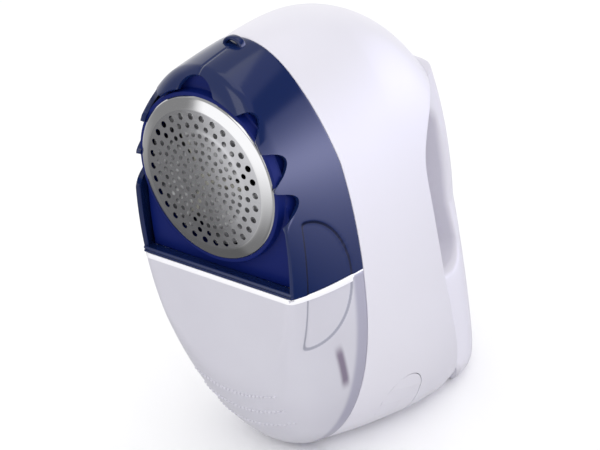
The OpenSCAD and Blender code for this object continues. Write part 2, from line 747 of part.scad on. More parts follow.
module back_screw(x, y0, y1, z) {
  translate([0, y0 + y1, 0]) mirror([0, 1, 0]) screw(x, y0, y1, z, 1, 2, 1.4);
}
module chamber_screws() placed() color(steel_c) {
  for (x = [-post_x, post_x]) back_screw(x, plate_y + plate_t + 3, chamber_y1 + 1.4, post_z);
  back_screw(0, plate_y + plate_t + 3, chamber_y1 + 1.4, post_top_z);
}
module clamp_screws() placed() color(steel_c) {
  for (x = [-20, 20]) back_screw(x, chamber_y1 - 2.4, chamber_y1 + 4.4, head_z);
}
module handle_screws() placed() color(steel_c) {
  for (x = [-1, 1] * handle_screw_x)
    screw(x, seam_y(handle_screw_z + 3) - wall - 1.8, handle_screw_y - 1, handle_screw_z);
}
module wiring() placed() {
  for (side = [-1, 1]) color(side > 0 ? [0.75, 0.1, 0.1] : [0.1, 0.1, 0.1])
    tube_on(bend([side * cell_x, bay_y, bay_top_z + 4.25], [side * 16, bay_y + 16, head_z - 26],
      [side * 8, cap_y1 + 5.6, head_z - 0.6]), 0.8);
}
module battery_left() placed() color([0.55, 0.45, 0.2]) battery(-1);
module battery_right() placed() color([0.55, 0.45, 0.2]) battery(1);

main_housing();
handle_cover();
head_plate();
fabric_guard();
lint_bin();
foil();
foil_ring();
cutter_blades();
blade_carrier();
blade_spring();
fan();
motor_shaft();
motor_armature();
cutter_chamber();
shaft_bush();
motor_can();
motor_magnets();
motor_end_cap();
motor_terminals();
motor_clamp();
battery_holder();
battery_left();
battery_right();
battery_terminals();
terminal_spring();
door_spring();
battery_door();
door_link_plate();
switch_button();
switch_body();
switch_terminals();
interlock_switch();
interlock_plunger();
head_screws();
chamber_screws();
clamp_screws();
handle_screws();
wiring();
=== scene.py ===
"""Look of a battery fabric shaver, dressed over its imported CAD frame.

Every sub-assembly is a class. Its sizes are fields in millimetres, its methods work its surfaces out
as numpy grids, and its finish is a small frozen class. Lay-out frame: x to the right, y backwards from
the guard's front edge, z up from the resting plane. Layout turns that into the row frame's metres.
"""

from __future__ import annotations

import logging
import math
from dataclasses import dataclass
from enum import Enum
from typing import Callable, Sequence

import bmesh
import bpy
import numpy as np
from mathutils import Matrix, Vector
from mathutils.geometry import delaunay_2d_cdt

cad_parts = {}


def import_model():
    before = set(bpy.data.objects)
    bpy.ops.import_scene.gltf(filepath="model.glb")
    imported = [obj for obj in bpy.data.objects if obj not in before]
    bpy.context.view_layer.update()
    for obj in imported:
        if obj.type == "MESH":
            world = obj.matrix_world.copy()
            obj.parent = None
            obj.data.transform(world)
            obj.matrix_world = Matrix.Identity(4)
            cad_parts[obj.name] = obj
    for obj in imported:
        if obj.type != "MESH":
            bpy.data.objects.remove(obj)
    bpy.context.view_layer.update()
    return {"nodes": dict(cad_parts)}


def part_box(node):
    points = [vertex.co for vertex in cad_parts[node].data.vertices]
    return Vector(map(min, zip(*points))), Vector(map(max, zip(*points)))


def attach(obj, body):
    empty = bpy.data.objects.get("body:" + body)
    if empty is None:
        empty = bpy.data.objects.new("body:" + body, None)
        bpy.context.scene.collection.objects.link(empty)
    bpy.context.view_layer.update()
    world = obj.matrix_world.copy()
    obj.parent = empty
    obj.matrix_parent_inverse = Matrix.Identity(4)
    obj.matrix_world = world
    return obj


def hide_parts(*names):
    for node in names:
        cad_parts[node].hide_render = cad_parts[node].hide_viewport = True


LOG = logging.getLogger("shaver")
Grid = np.ndarray
Tree, Node, Socket = bpy.types.NodeTree, bpy.types.Node, bpy.types.NodeSocket
Object, Material = bpy.types.Object, bpy.types.Material

MM = 0.001  # a millimetre in metres
MERGE_M = 2e-6  # points nearer than this are one point
SMOOTH_DEG = 38.0  # edges flatter than this are smoothed
SETTLE = 6  # rounds in which a line on the form settles on the split

# The thumb dish, in lay-out millimetres: middle, half depth and half height, lean, soft edge
DISH_Y, DISH_Z = 6.4, 84.8
DISH_RADII = (19.0, 24.6)
DISH_LEAN = 0.03
DISH_SOFT = 0.45


# Numbers and grids


def spow(value: Grid, power: Grid | float) -> Grid:
    """Signed power: the sign of the value times its size raised to the power."""
    return np.sign(value) * np.abs(value) ** power


def mix(low: float, high: float, share: Grid) -> Grid:
    """Straight blend from low to high as share goes from 0 to 1, held at both ends."""
    return low + (high - low) * np.clip(share, 0.0, 1.0)


def ramp(value: Grid, start: float, end: float) -> Grid:
    """Smooth step: 0 before start, 1 after end, 3t^2 - 2t^3 between."""
    t = np.clip((value - start) / (end - start), 0.0, 1.0)
    return t * t * (3.0 - 2.0 * t)


def power_curve(way: Grid, reach: float, length: float, power: float) -> Grid:
    """Reach times the share of the length raised to the power, nil before the start."""
    return reach * (np.maximum(way, 0.0) / length) ** power


def foot_curve(z: Grid, reach: float, length: float, power: float) -> Grid:
    """A power curve that runs down from a height of one length to the floor, and holds below it."""
    return power_curve(length - np.maximum(z, 0.0), reach, length, power)


def unit(vectors: Grid) -> Grid:
    """Each vector divided by its length."""
    return vectors / np.maximum(np.linalg.norm(vectors, axis=-1, keepdims=True), 1e-9)


def grid_faces(rows: int, cols: int, wrap_rows: bool = False, wrap_cols: bool = False) -> Grid:
    """Four-sided faces that join the neighbouring points of a grid.

    Args:
        rows: Number of rows of points.
        cols: Number of points in a row.
        wrap_rows: Whether the last row joins the first.
        wrap_cols: Whether the last point of a row joins its first.

    Returns:
        An array of four point numbers a face.
    """
    i = np.arange(rows if wrap_rows else rows - 1)[:, None]
    j = np.arange(cols if wrap_cols else cols - 1)[None, :]
    down, right = (i + 1) % rows, (j + 1) % cols
    corners = np.broadcast_arrays(i * cols + j, i * cols + right, down * cols + right, down * cols + j)
    return np.stack(corners, axis=-1).reshape(-1, 4)


def softened(rows: Sequence[Grid], corner: int, radius: float, steps: int = 5) -> list[Grid]:
    """Rounds one corner of a stack of rows.

    The corner row B, with neighbours A and C, gives way to the curve
    (1-s)^2 P + 2s(1-s) B + s^2 Q, where P and Q lie a radius from B towards A and C.

    Args:
        rows: Rows of points, in order along the section.
        corner: Number of the row to round.
        radius: Distance of the round's ends from the corner.
        steps: Number of rows in the round.

    Returns:
        The rows with the round in place of the corner.
    """
    a, b, c = rows[corner - 1], rows[corner], rows[corner + 1]
    back, ahead = a - b, c - b
    r_back = np.minimum(radius, 0.48 * np.linalg.norm(back, axis=-1, keepdims=True))
    r_ahead = np.minimum(radius, 0.48 * np.linalg.norm(ahead, axis=-1, keepdims=True))
    p, q = b + unit(back) * r_back, b + unit(ahead) * r_ahead
    s = np.linspace(0.0, 1.0, steps)
    curve = [(1 - k) ** 2 * p + 2 * k * (1 - k) * b + k * k * q for k in s]
    return [*rows[:corner], *curve, *rows[corner + 1:]]


@dataclass(frozen=True)
class Layout:
    """Where the lay-out frame lies in the row frame.

    Args:
        depth_mid: Depth of the row's origin behind the guard's front edge, in millimetres.
    """

    depth_mid: float

    @classmethod
    def from_frame(cls) -> "Layout":
        """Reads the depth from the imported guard's front edge."""
        return cls(depth_mid=-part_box("fabric_guard")[0].y / MM)

    def metres(self, points: Grid) -> Grid:
        """Lay-out millimetres to row-frame metres."""
        return (np.asarray(points, float) - [0.0, self.depth_mid, 0.0]) * MM

    def depth_m(self, y: float) -> float:
        """Row-frame depth in metres of a lay-out depth."""
        return (y - self.depth_mid) * MM


class Facing(Enum):
    """Which way a new surface looks."""

    OUT = "away from its middle"
    FRONT = "towards the fabric"


def link_object(name: str, data: bpy.types.ID) -> Object:
    """Puts data into the scene as an object.

    Args:
        name: The object's name.
        data: Its mesh, lamp or camera.

    Returns:
        The object.
    """
    made = bpy.data.objects.new(name, data)
    bpy.context.scene.collection.objects.link(made)
    return made


def smooth(mesh: bpy.types.Mesh, sharp: float = SMOOTH_DEG) -> None:
    """Smooths a mesh but for the edges that turn by more than sharp degrees."""
    mesh.shade_smooth()
    mesh.set_sharp_from_angle(angle=math.radians(sharp))


def finish_with(piece: Object, kind: str, **settings: object) -> bpy.types.Modifier:
    """Adds a modifier to a piece.

    Args:
        piece: The piece.
        kind: Blender's name of the modifier's type.
        settings: Attributes of the modifier.

    Returns:
        The modifier.
    """
    modifier = piece.modifiers.new(kind.lower(), kind)
    for key, value in settings.items():
        setattr(modifier, key, value)
    return modifier


def apply_modifiers(piece: Object) -> None:
    """Turns a piece's modifiers into plain mesh, so that helper solids can go.

    Args:
        piece: The piece, which keeps its name and finishes.
    """
    graph = bpy.context.evaluated_depsgraph_get()
    made = bpy.data.meshes.new_from_object(piece.evaluated_get(graph))
    old = piece.data
    piece.modifiers.clear()
    piece.data = made
    bpy.data.meshes.remove(old)


# Materials


def linear(hex_colour: str) -> tuple[float, float, float, float]:
    """Turns an sRGB colour to linear light.

    Args:
        hex_colour: The colour as six hex digits after a hash.

    Returns:
        Linear red, green and blue, and an alpha of 1.
    """
    parts = [int(hex_colour.lstrip("#")[i:i + 2], 16) / 255.0 for i in (0, 2, 4)]
    red, green, blue = (p / 12.92 if p <= 0.04045 else ((p + 0.055) / 1.055) ** 2.4 for p in parts)
    return red, green, blue, 1.0


def add_node(tree: Tree, kind: str, values: dict | None = None,
             links: dict | None = None, **settings: object) -> Node:
    """Adds one shader node.

    Args:
        tree: Node tree to add it to.
        kind: Blender's name of the node's type, less its first part, ShaderNode.
        values: Input name or number to its constant.
        links: Input name or number to the output socket that feeds it.
        settings: Attributes of the node.

    Returns:
        The node.
    """
    made = tree.nodes.new(f"ShaderNode{kind}")
    for key, value in settings.items():
        setattr(made, key, value)
    for key, value in (values or {}).items():
        made.inputs[key].default_value = value
    for key, socket in (links or {}).items():
        tree.links.new(socket, made.inputs[key])
    return made


def new_material(name: str) -> tuple[Material, Tree, Socket]:
    """Starts a node material.

    Args:
        name: The material's name.

    Returns:
        The material, its empty tree and the socket of its Object coordinates.
    """
    material = bpy.data.materials.new(name)
    material.use_nodes = True
    tree = material.node_tree
    tree.nodes.clear()
    where = add_node(tree, "TexCoord").outputs["Object"]
    return material, tree, where


def close_material(tree: Tree, shader: Node) -> None:
    """Joins the last shader to the material's output."""
    add_node(tree, "OutputMaterial", links={"Surface": shader.outputs[0]})


@dataclass(frozen=True)
class DishLine:
    """Fine moulded line round the thumb dish: half an ellipse closed by a leaning front line, darkened with
    painted shade along its step.

    Args:
        middle_m: Depth and height of the ellipse's middle in the row frame.
        radii_m: Its half depth and half height.
        front_m: Depth of the front line at the middle's height.
        lean: Change of the front line's depth with height.
        width_m: Half width of the line.
        corner_m: Length over which its two corners are rounded.
        core: Share of the half width that is full.
    """

    middle_m: tuple[float, float]
    radii_m: tuple[float, float]
    front_m: float
    lean: float
    width_m: float
    corner_m: float = 0.003
    core: float = 0.3

    def mask(self, tree: Tree, where: Socket) -> Socket:
        """Share of the line: 1 where the lesser of two distances, blended over corner_m, is nil.

        One distance is to the ellipse, inwards, and the other to the front line, rearwards.

        Args:
            tree: Node tree to add the nodes to.
            where: Socket of the Object coordinates.

        Returns:
            The socket of the share.
        """
        (y, z), (ry, rz) = self.middle_m, self.radii_m
        away = add_node(tree, "VectorMath",
                        {1: (0.0, 1.0 / ry, 1.0 / rz), 2: (0.0, -y / ry, -z / rz)},
                        {0: where}, operation="MULTIPLY_ADD")
        length = add_node(tree, "VectorMath", links={0: away.outputs[0]}, operation="LENGTH")
        inside = add_node(tree, "Math", {1: -ry, 2: ry}, {0: length.outputs["Value"]},
                          operation="MULTIPLY_ADD")
        place = add_node(tree, "SeparateXYZ", links={0: where})
        line = add_node(tree, "Math", {1: -self.lean, 2: self.lean * z - self.front_m},
                        {0: place.outputs["Z"]}, operation="MULTIPLY_ADD")
        behind = add_node(tree, "Math", links={0: place.outputs["Y"], 1: line.outputs[0]},
                          operation="ADD")
        least = add_node(tree, "Math", {2: self.corner_m},
                         {0: inside.outputs[0], 1: behind.outputs[0]}, operation="SMOOTH_MIN")
        size = add_node(tree, "Math", links={0: least.outputs[0]}, operation="ABSOLUTE")
        return add_node(tree, "MapRange",
                        {"From Min": self.width_m, "From Max": self.width_m * self.core},
                        {"Value": size.outputs[0]}, interpolation_type="SMOOTHSTEP").outputs[0]


@dataclass(frozen=True)
class MouldedPlastic:
    """Injection-moulded plastic: an even colour with a faint cloudiness and the mould's polish.

    Args:
        name: The material's name.
        colour: Its sRGB colour.
        roughness: Roughness of the moulded skin.
        coat: Weight of the clear shine over the skin.
        ior: Index of refraction of the skin; a dull skin has a low one.
        line: Line round the thumb dish, where the piece has one.
        line_shade_colour: Colour of the painted shade along that line.
        line_mm: Depth of that line.
        cloud_mm: Size of the faint change in gloss that moulding leaves.
        grain_mm: Size of the mould's fine grain.
        grain_depth_mm: Height of that grain.
    """

    name: str
    colour: str
    roughness: float = 0.28
    coat: float = 0.0
    ior: float = 1.53
    line: DishLine | None = None
    line_shade_colour: str = "#0a1230"
    line_mm: float = 0.03
    cloud_mm: float = 14.0
    grain_mm: float = 0.5
    grain_depth_mm: float = 0.002

    def make(self) -> Material:
        """Builds the material: noise moves the gloss, a finer noise gives the grain, and a dish line adds
        painted shade and a groove.

        Returns:
            The material.
        """
        material, tree, where = new_material(self.name)
        cloud = add_node(tree, "TexNoise", {"Scale": 1.0 / (self.cloud_mm * MM), "Detail": 2.0},
                         {"Vector": where})
        gloss = add_node(tree, "MapRange", {
            "From Min": 0.3, "From Max": 0.7, "To Min": self.roughness * 0.9,
            "To Max": self.roughness * 1.12}, {"Value": cloud.outputs["Fac"]})
        grain = add_node(tree, "TexNoise", {"Scale": 1.0 / (self.grain_mm * MM), "Detail": 1.0},
                         {"Vector": where})
        bump = add_node(tree, "Bump", {"Strength": 0.35, "Distance": self.grain_depth_mm * MM},
                        {"Height": grain.outputs["Fac"]})
        shader = add_node(tree, "BsdfPrincipled", {
            "Base Color": linear(self.colour), "IOR": self.ior, "Coat Weight": self.coat,
            "Coat Roughness": 0.06}, {"Roughness": gloss.outputs[0], "Normal": bump.outputs[0]})
        # Painted shade: the dish line's mask darkens the colour along its step, and also sinks a real
        # groove
        if self.line:
            mask = self.line.mask(tree, where)
            shade = add_node(tree, "Mix", {6: linear(self.colour), 7: linear(self.line_shade_colour)},
                             {0: mask}, data_type="RGBA")
            groove = add_node(tree, "Bump", {"Distance": self.line_mm * MM},
                              {"Height": mask, "Normal": bump.outputs[0]}, invert=True)
            tree.links.new(shade.outputs[2], shader.inputs["Base Color"])
            tree.links.new(groove.outputs[0], shader.inputs["Normal"])
        close_material(tree, shader)
        return material


@dataclass(frozen=True)
class FrostedAcrylic:
    """Clear acrylic moulded with a matt inside: pale, milky, and grey where its rear band is thick.

    Args:
        name: The material's name.
        colour: Colour of the milky wall.
        band_colour: Colour of the thick band at the rear edge.
        band_depths_m: Row-frame depths where the band starts and is full.
        line: Line round the thumb dish.
        rib_m: Depth and height of the middle of the rib inside, in the row frame.
        fog_colour: Colour of the milky clouds.
        line_shade_colour: Colour of the painted shade along the dish's line.
        rib_shade_colour: Colour of the painted shade where the rib shows through the wall.
        rib_lean: Lean of the rib from upright, in degrees.
        fog_mm: Size of the milky clouds.
        grain_mm: Size of the matt grain, drawn coarser than it is so that it shows.
        grain_depth_mm: Height of that grain.
    """

    name: str
    colour: str
    band_colour: str
    band_depths_m: tuple[float, float]
    line: DishLine
    rib_m: tuple[float, float]
    fog_colour: str = "#d7d6e0"
    line_shade_colour: str = "#a3a3b1"
    rib_shade_colour: str = "#8b8094"
    rib_lean: float = 16.02
    fog_mm: float = 22.22
    grain_mm: float = 0.625
    grain_depth_mm: float = 0.004

    def rib_shadow(self, tree: Tree, where: Socket) -> Socket:
        """Share of the inner rib that shows through the right wall as a soft leaning shade.

        It is the product of a smooth step across the rib and one towards both its ends.

        Args:
            tree: Node tree to add the nodes to.
            where: Socket of the Object coordinates.

        Returns:
            The socket of the share.
        """
        y, z = self.rib_m
        lean = math.radians(self.rib_lean)
        across, along = (0.0, math.cos(lean), math.sin(lean)), (0.0, math.sin(lean), -math.cos(lean))
        steps = []
        for way, nil_m, full_m in ((across, 0.0022, 0.0004), (along, 0.0125, 0.006)):
            place = add_node(tree, "VectorMath", {1: way}, {0: where}, operation="DOT_PRODUCT")
            away = add_node(tree, "Math", {1: y * way[1] + z * way[2]},
                            {0: place.outputs["Value"]}, operation="SUBTRACT")
            size = add_node(tree, "Math", links={0: away.outputs[0]}, operation="ABSOLUTE")
            steps.append(add_node(tree, "MapRange", {"From Min": nil_m, "From Max": full_m},
                                  {"Value": size.outputs[0]}, interpolation_type="SMOOTHSTEP").outputs[0])
        side = add_node(tree, "SeparateXYZ", links={0: where})
        right = add_node(tree, "Math", {1: 0.0}, {0: side.outputs["X"]}, operation="GREATER_THAN")
        both = add_node(tree, "Math", links={0: steps[0], 1: steps[1]}, operation="MULTIPLY")
        return add_node(tree, "Math", links={0: both.outputs[0], 1: right.outputs[0]},
                        operation="MULTIPLY").outputs[0]

    def make(self) -> Material:
        """Builds the material: the band is a smooth step along the depth, and fog is a soft noise.

        Returns:
            The material.
        """
        material, tree, where = new_material(self.name)
        depth = add_node(tree, "SeparateXYZ", links={0: where})
        band = add_node(tree, "MapRange", {
            "From Min": self.band_depths_m[0], "From Max": self.band_depths_m[1]},
            {"Value": depth.outputs["Y"]}, interpolation_type="SMOOTHSTEP")
        fog = add_node(tree, "TexNoise", {"Scale": 1.0 / (self.fog_mm * MM), "Detail": 2.0},
                       {"Vector": where})
        colour = add_node(tree, "Mix", {6: linear(self.colour), 7: linear(self.fog_colour)},
                          {0: fog.outputs["Fac"]}, data_type="RGBA")
        # Mixes in the rear band's grey, then the painted shade along the dish line and the painted shade of
        # the rib
        for shade, share in ((self.band_colour, band.outputs[0]),
                             (self.line_shade_colour, self.line.mask(tree, where)),
                             (self.rib_shade_colour, self.rib_shadow(tree, where))):
            colour = add_node(tree, "Mix", {7: linear(shade)}, {0: share, 6: colour.outputs[2]},
                              data_type="RGBA")
        grain = add_node(tree, "TexNoise", {"Scale": 1.0 / (self.grain_mm * MM), "Detail": 2.0},
                         {"Vector": where})
        bump = add_node(tree, "Bump", {"Strength": 0.25, "Distance": self.grain_depth_mm * MM},
                        {"Height": grain.outputs["Fac"]})
        shader = add_node(tree, "BsdfPrincipled", {
            "Roughness": 0.34, "IOR": 1.49, "Transmission Weight": 0.1, "Coat Weight": 0.15,
            "Coat Roughness": 0.12}, {"Base Color": colour.outputs[2], "Normal": bump.outputs[0]})
        close_material(tree, shader)
        return material


@dataclass(frozen=True)
class WorkedMetal:
    """Bare metal, brushed or polished: fine lines across it move the gloss and the tint.

    Args:
        name: The material's name.
        colour: Its sRGB colour.
        roughness: Its mean roughness.
        line_mm: Width of the brushed lines; 0 for a polished skin with none.
        anisotropy: How far the lines stretch the shine.
        cloud_mm: Size of the faint clouds on a polished skin.
    """

    name: str
    colour: str
    roughness: float
    line_mm: float = 0.0
    anisotropy: float = 0.0
    cloud_mm: float = 3.0

    def make(self) -> Material:
        """Builds the material: a noise stretched along x stands for the brushed lines.

        Returns:
            The material.
        """
        brushed = self.line_mm > 0
        spread, depth_mm = (0.35, 0.004) if brushed else (0.15, 0.001)
        material, tree, where = new_material(self.name)
        stretch = add_node(tree, "Mapping", {"Scale": (0.06, 1.0, 1.0)}, {"Vector": where})
        lines = add_node(tree, "TexNoise", {
            "Scale": 1.0 / ((self.line_mm or self.cloud_mm) * MM), "Detail": 3.0},
            {"Vector": stretch.outputs[0] if brushed else where})
        gloss = add_node(tree, "MapRange", {
            "From Min": 0.25, "From Max": 0.75, "To Min": self.roughness * (1 - spread),
            "To Max": self.roughness * (1 + spread)}, {"Value": lines.outputs["Fac"]})
        bump = add_node(tree, "Bump", {"Strength": 0.3, "Distance": depth_mm * MM},
                        {"Height": lines.outputs["Fac"]})
        shader = add_node(tree, "BsdfPrincipled", {
            "Base Color": linear(self.colour), "Metallic": 1.0, "Anisotropic": self.anisotropy},
            {"Roughness": gloss.outputs[0], "Normal": bump.outputs[0]})
        close_material(tree, shader)
        return material


class Finishes:
    """Every material of the shaver, made once."""

    def __init__(self, band_depths_m: tuple[float, float], rib_m: tuple[float, float],
                 line: DishLine) -> None:
        """Makes the materials.

        Args:
            band_depths_m: Depths where the lint bin's thick band starts and is full.
            rib_m: Depth and height of the middle of the bin's inner rib.
            line: Line round the thumb dish, on the guard and on the bin.
        """
        # Pale ABS: bright, with a soft wide shine
        self.white = MouldedPlastic("white_abs_moulded", "#dedce5", 0.34).make()
        # Deep blue ABS: saturated, with a skin so dull that it hardly mirrors
        self.royal = MouldedPlastic("royal_blue_abs_moulded", "#0d1c60", 0.36, ior=1.22).make()
        # Navy ABS polished in the mould: mirrors the lights as broad pale shapes
        self.navy = MouldedPlastic("navy_abs_polished", "#122250", 0.13, line=line).make()
        # Acrylic, matt inside: milky with a grey rear band
        self.bin = FrostedAcrylic("frosted_acrylic_moulded", "#d1cfda", "#b0aec0", band_depths_m,
                                  line, rib_m).make()
        # The bin's polished upper edge: painted near white, a painted highlight where it gathers the light
        self.edge = MouldedPlastic("acrylic_edge_painted_highlight", "#f4f3f8", 0.2, coat=0.5).make()
        # Stainless foil: etched, then brushed across
        self.foil = WorkedMetal("stainless_foil_brushed", "#c0c0c4", 0.13, 0.35).make()
        # The foil's rolled rim: polished bright
        self.rim = WorkedMetal("stainless_rim_polished", "#d4d4d6", 0.09).make()
        # Blade steel: ground flat and matt, and painted paler than the steel as painted light, so that it
        # reads as lit behind the foil's holes
        self.blade = WorkedMetal("blade_steel_ground_lightened", "#dcdcde", 0.42, 0.3).make()
        # Zinc plate: even silver with a faint stretched shine
        self.steel = WorkedMetal("steel_zinc_plated", "#b9bbc0", 0.3, 0.6, 0.2).make()
        # Spring wire: drawn smooth and a little darker
        self.wire_steel = WorkedMetal("spring_steel_drawn", "#a5a6aa", 0.28).make()
        # Stamped brass: warm yellow with rolling lines
        self.brass = WorkedMetal("brass_stamped", "#b8904a", 0.3, 0.5).make()
        # Sintered bronze: brown, and matt from its pores
        self.bronze = WorkedMetal("bronze_sintered", "#a8783e", 0.5).make()
        # Enamelled winding: red copper with the lines of its turns
        self.copper = WorkedMetal("copper_winding_enamelled", "#9a5a34", 0.35, 0.4).make()
        # Inner mouldings: matt, each in its own even colour
        self.black = MouldedPlastic("black_pom_moulded", "#1d1d20", 0.45).make()
        self.grey = MouldedPlastic("grey_abs_moulded", "#c9c9ce", 0.42).make()
        self.nylon = MouldedPlastic("natural_nylon_moulded", "#dcdad0", 0.5).make()
        self.red = MouldedPlastic("red_pom_moulded", "#b3241c", 0.4).make()
        # Ferrite: sintered, charcoal and dull
        self.ferrite = MouldedPlastic("ferrite_sintered", "#3a3a3f", 0.7).make()
        # The cells' sleeve: shrunk film, which shines as if varnished
        self.sleeve = MouldedPlastic("cell_sleeve_shrunk", "#8d7436", 0.3, coat=0.3).make()
        # PVC insulation: soft and dull
        self.cable = MouldedPlastic("pvc_cable_extruded", "#7a1d1d", 0.45).make()

    def by_node(self) -> dict[str, Material]:
        """Picks the material of each CAD node that shows its own mesh.

        Returns:
            Node names to materials.
        """
        shown = (
            (self.white, "battery_door"), (self.royal, "foil_ring"), (self.navy, "switch_button"),
            (self.nylon, "blade_carrier motor_end_cap"), (self.copper, "motor_armature"),
            (self.wire_steel, "blade_spring terminal_spring door_spring"), (self.bronze, "shaft_bush"),
            (self.steel, "motor_shaft motor_can battery_terminals door_link_plate head_screws"
                         " chamber_screws clamp_screws handle_screws"),
            (self.black, "fan motor_clamp battery_holder switch_body interlock_switch"),
            (self.grey, "cutter_chamber"), (self.ferrite, "motor_magnets"),
            (self.brass, "motor_terminals switch_terminals"), (self.sleeve, "battery_left battery_right"),
            (self.red, "interlock_plunger"), (self.cable, "wiring"))
        return {name: material for material, names in shown for name in names.split()}


# The outer form that all shell pieces share


@dataclass(frozen=True)
class ShellForm:
    """The smooth outer form: superellipse sections that change with depth, in millimetres.

    The fields that end in _curve are the reach, the length and the power of a power curve.
    """

    height: float = 163.0
    half_width: float = 42.5
    front_half_width: float = 35.0
    split_y: float = 31.0
    split_top_y: float = 25.5
    front_top_z: float = 158.5
    front_low_z: float = 36.0
    wide_y: float = 50.0
    crown_y: float = 42.0
    mid_z: float = 62.0
    low_round: float = 8.0
    back_y: float = 120.0
    grip_half_width: float = 23.0
    heel_half_width: float = 33.0
    grip_mid_y: float = 95.0
    head_z: float = 120.0
    gap: float = 0.3
    belly_z: float = 70.0
    belly_rise: float = 30.0
    crease_y0: float = 73.3
    crease_z0: float = 98.0
    crease_high_curve: tuple[float, float, float] = (28.7, 29.0, 2.4)
    crease_low_curve: tuple[float, float, float] = (21.0, 98.0, 1.7)
    cover_y: float = 99.7
    cover_z: float = 126.0
    heel_back_y: float = 80.0
    heel_z: float = 58.0
    heel_rise: float = 92.0
    heel_tuck_curve: tuple[float, float, float] = (6.0, 14.0, 2.0)
    foot_round_curve: tuple[float, float, float] = (5.0, 8.0, 2.0)
    waist_z: float = 70.0
    grip_front: float = 40.0

    def half_w(self, y: Grid) -> Grid:
        """Half width: an ellipse over the depth, widest at wide_y."""
        reach = self.wide_y / math.sqrt(1 - (self.front_half_width / self.half_width) ** 2)
        return self.half_width * np.sqrt(1 - ((y - self.wide_y) / reach) ** 2)

    def centre_z(self, y: Grid) -> Grid:
        """Height of the section's widest place, which sinks from the front edge backwards.

        Args:
            y: Depths.

        Returns:
            b + r (1 - y/s)^1.5 before the split s, then a straight fall from b to mid_z.
        """
        front = self.belly_z + self.belly_rise * (1 - np.minimum(y, self.split_y) / self.split_y) ** 1.5
        return np.where(y < self.split_y, front, mix(self.belly_z, self.mid_z, (y - self.split_y) / 40.0))

    def top_z(self, y: Grid) -> Grid:
        """Height of the crown.

        Args:
            y: Depths.

        Returns:
            A parabola in front of crown_y, and a superellipse (1 - t^2.4)^0.476 down the back.
        """
        front = self.height - (self.height - self.front_top_z) * (1 - y / self.crown_y) ** 2
        t = np.clip((y - self.crown_y) / (self.back_y - self.crown_y + 0.5), 0.0, 1.0)
        back = self.mid_z + (self.height - self.mid_z) * (1 - t ** 2.4) ** 0.476
        return np.where(y < self.crown_y, front, back)

    def low_z(self, y: Grid) -> Grid:
        """Height of the section's lowest point.

        Args:
            y: Depths.

        Returns:
            A parabola that falls from front_low_z to just under the floor, then a slow fall.
        """
        reach = self.split_y + 2.0
        front = self.front_low_z * np.clip(1 - y / reach, 0.0, None) ** 2 - 1.0
        return np.where(y < reach, front, mix(-1.0, -4.0, (y - self.split_y) / 50.0))

    def top_n(self, y: Grid) -> Grid:
        """Power of the section's upper half."""
        return np.where(y < self.split_y, mix(2.15, 2.05, y / self.split_y),
                        mix(2.05, 2.25, (y - self.split_y) / 30.0))

    def low_n(self, y: Grid) -> Grid:
        """Power of the section's lower half."""
        return np.where(y < self.split_y, 2.05, mix(2.05, 4.0, (y - self.split_y) / 54.0))

    def point(self, y: Grid, angle: Grid, inset: Grid | float = 0.0, edge: float = 0.0) -> Grid:
        """Points of the form.

        x = (half width - inset - f) cos^e, z = centre + (half height - inset - f) sin^e, where e is
        2 over the half's power and f rounds the front edge with a radius that grows downwards.

        Args:
            y: Depths.
            angle: Angles round the section, from +x upwards.
            inset: Distance inside the form.
            edge: Least radius of the front edge.

        Returns:
            Points (x, y, z) in lay-out millimetres.
        """
        y, angle = np.broadcast_arrays(np.asarray(y, float), np.asarray(angle, float))
        c, s = np.cos(angle), np.sin(angle)
        up = s >= 0
        power = 2.0 / np.where(up, self.top_n(y), self.low_n(y))
        radius = np.maximum(self.low_round * np.maximum(-s - 0.5, 0) * 2.0, edge)
        short = np.maximum(radius - np.maximum(y, 0.0), 0.0)
        f = radius - np.sqrt(np.maximum(radius ** 2 - short ** 2, 0.0))
        zc = self.centre_z(y)
        half_h = np.where(up, self.top_z(y) - zc, zc - self.low_z(y)) - inset - f
        x = (self.half_w(y) - inset - f) * spow(c, power)
        return np.stack([x, y, zc + half_h * spow(s, power)], axis=-1)

    def angle_at(self, y: Grid, z: float, inset: float = 0.0) -> Grid:
        """Angle on the right-hand side where the section at each depth passes a height.

        Args:
            y: Depths.
            z: The height.
            inset: Distance inside the form.

        Returns:
            The angles, which solve point's formula for its height.
        """
        zc = self.centre_z(y)
        up = z >= zc
        half_h = np.where(up, self.top_z(y) - zc, zc - self.low_z(y)) - inset
        power = np.where(up, self.top_n(y), self.low_n(y)) / 2.0
        return np.arcsin(np.clip(spow((z - zc) / half_h, power), -1.0, 1.0))

    def split_line(self, z: Grid) -> Grid:
        """Depth where the head and the bin meet the white shell, leaning forwards at the crown."""
        return np.interp(z, [122.0, 148.0, 175.0],
                         [self.split_y, self.split_top_y + 2.2, self.split_top_y])

    def crease_y(self, z: Grid) -> Grid:
        """Depth of the crease in front of the handle.

        Args:
            z: Heights.

        Returns:
            Two power curves, upwards and downwards, from crease_y0 at crease_z0.
        """
        up = z - self.crease_z0
        high = power_curve(up, *self.crease_high_curve)
        low = power_curve(np.minimum(-up, self.crease_z0), *self.crease_low_curve)
        return self.crease_y0 + np.where(up > 0, high, low)

    def back_line(self, z: Grid) -> Grid:
        """Rearmost depth at each height.

        Args:
            z: Heights.

        Returns:
            A superellipse above heel_z, and upright below it but for a tuck at the foot.
        """
        t = np.clip((z - self.heel_z) / self.heel_rise, 0.0, 1.0)
        tuck = foot_curve(z, *self.heel_tuck_curve)
        return self.heel_back_y + (self.back_y - self.heel_back_y) * np.sqrt(1 - t ** 2.15) - tuck

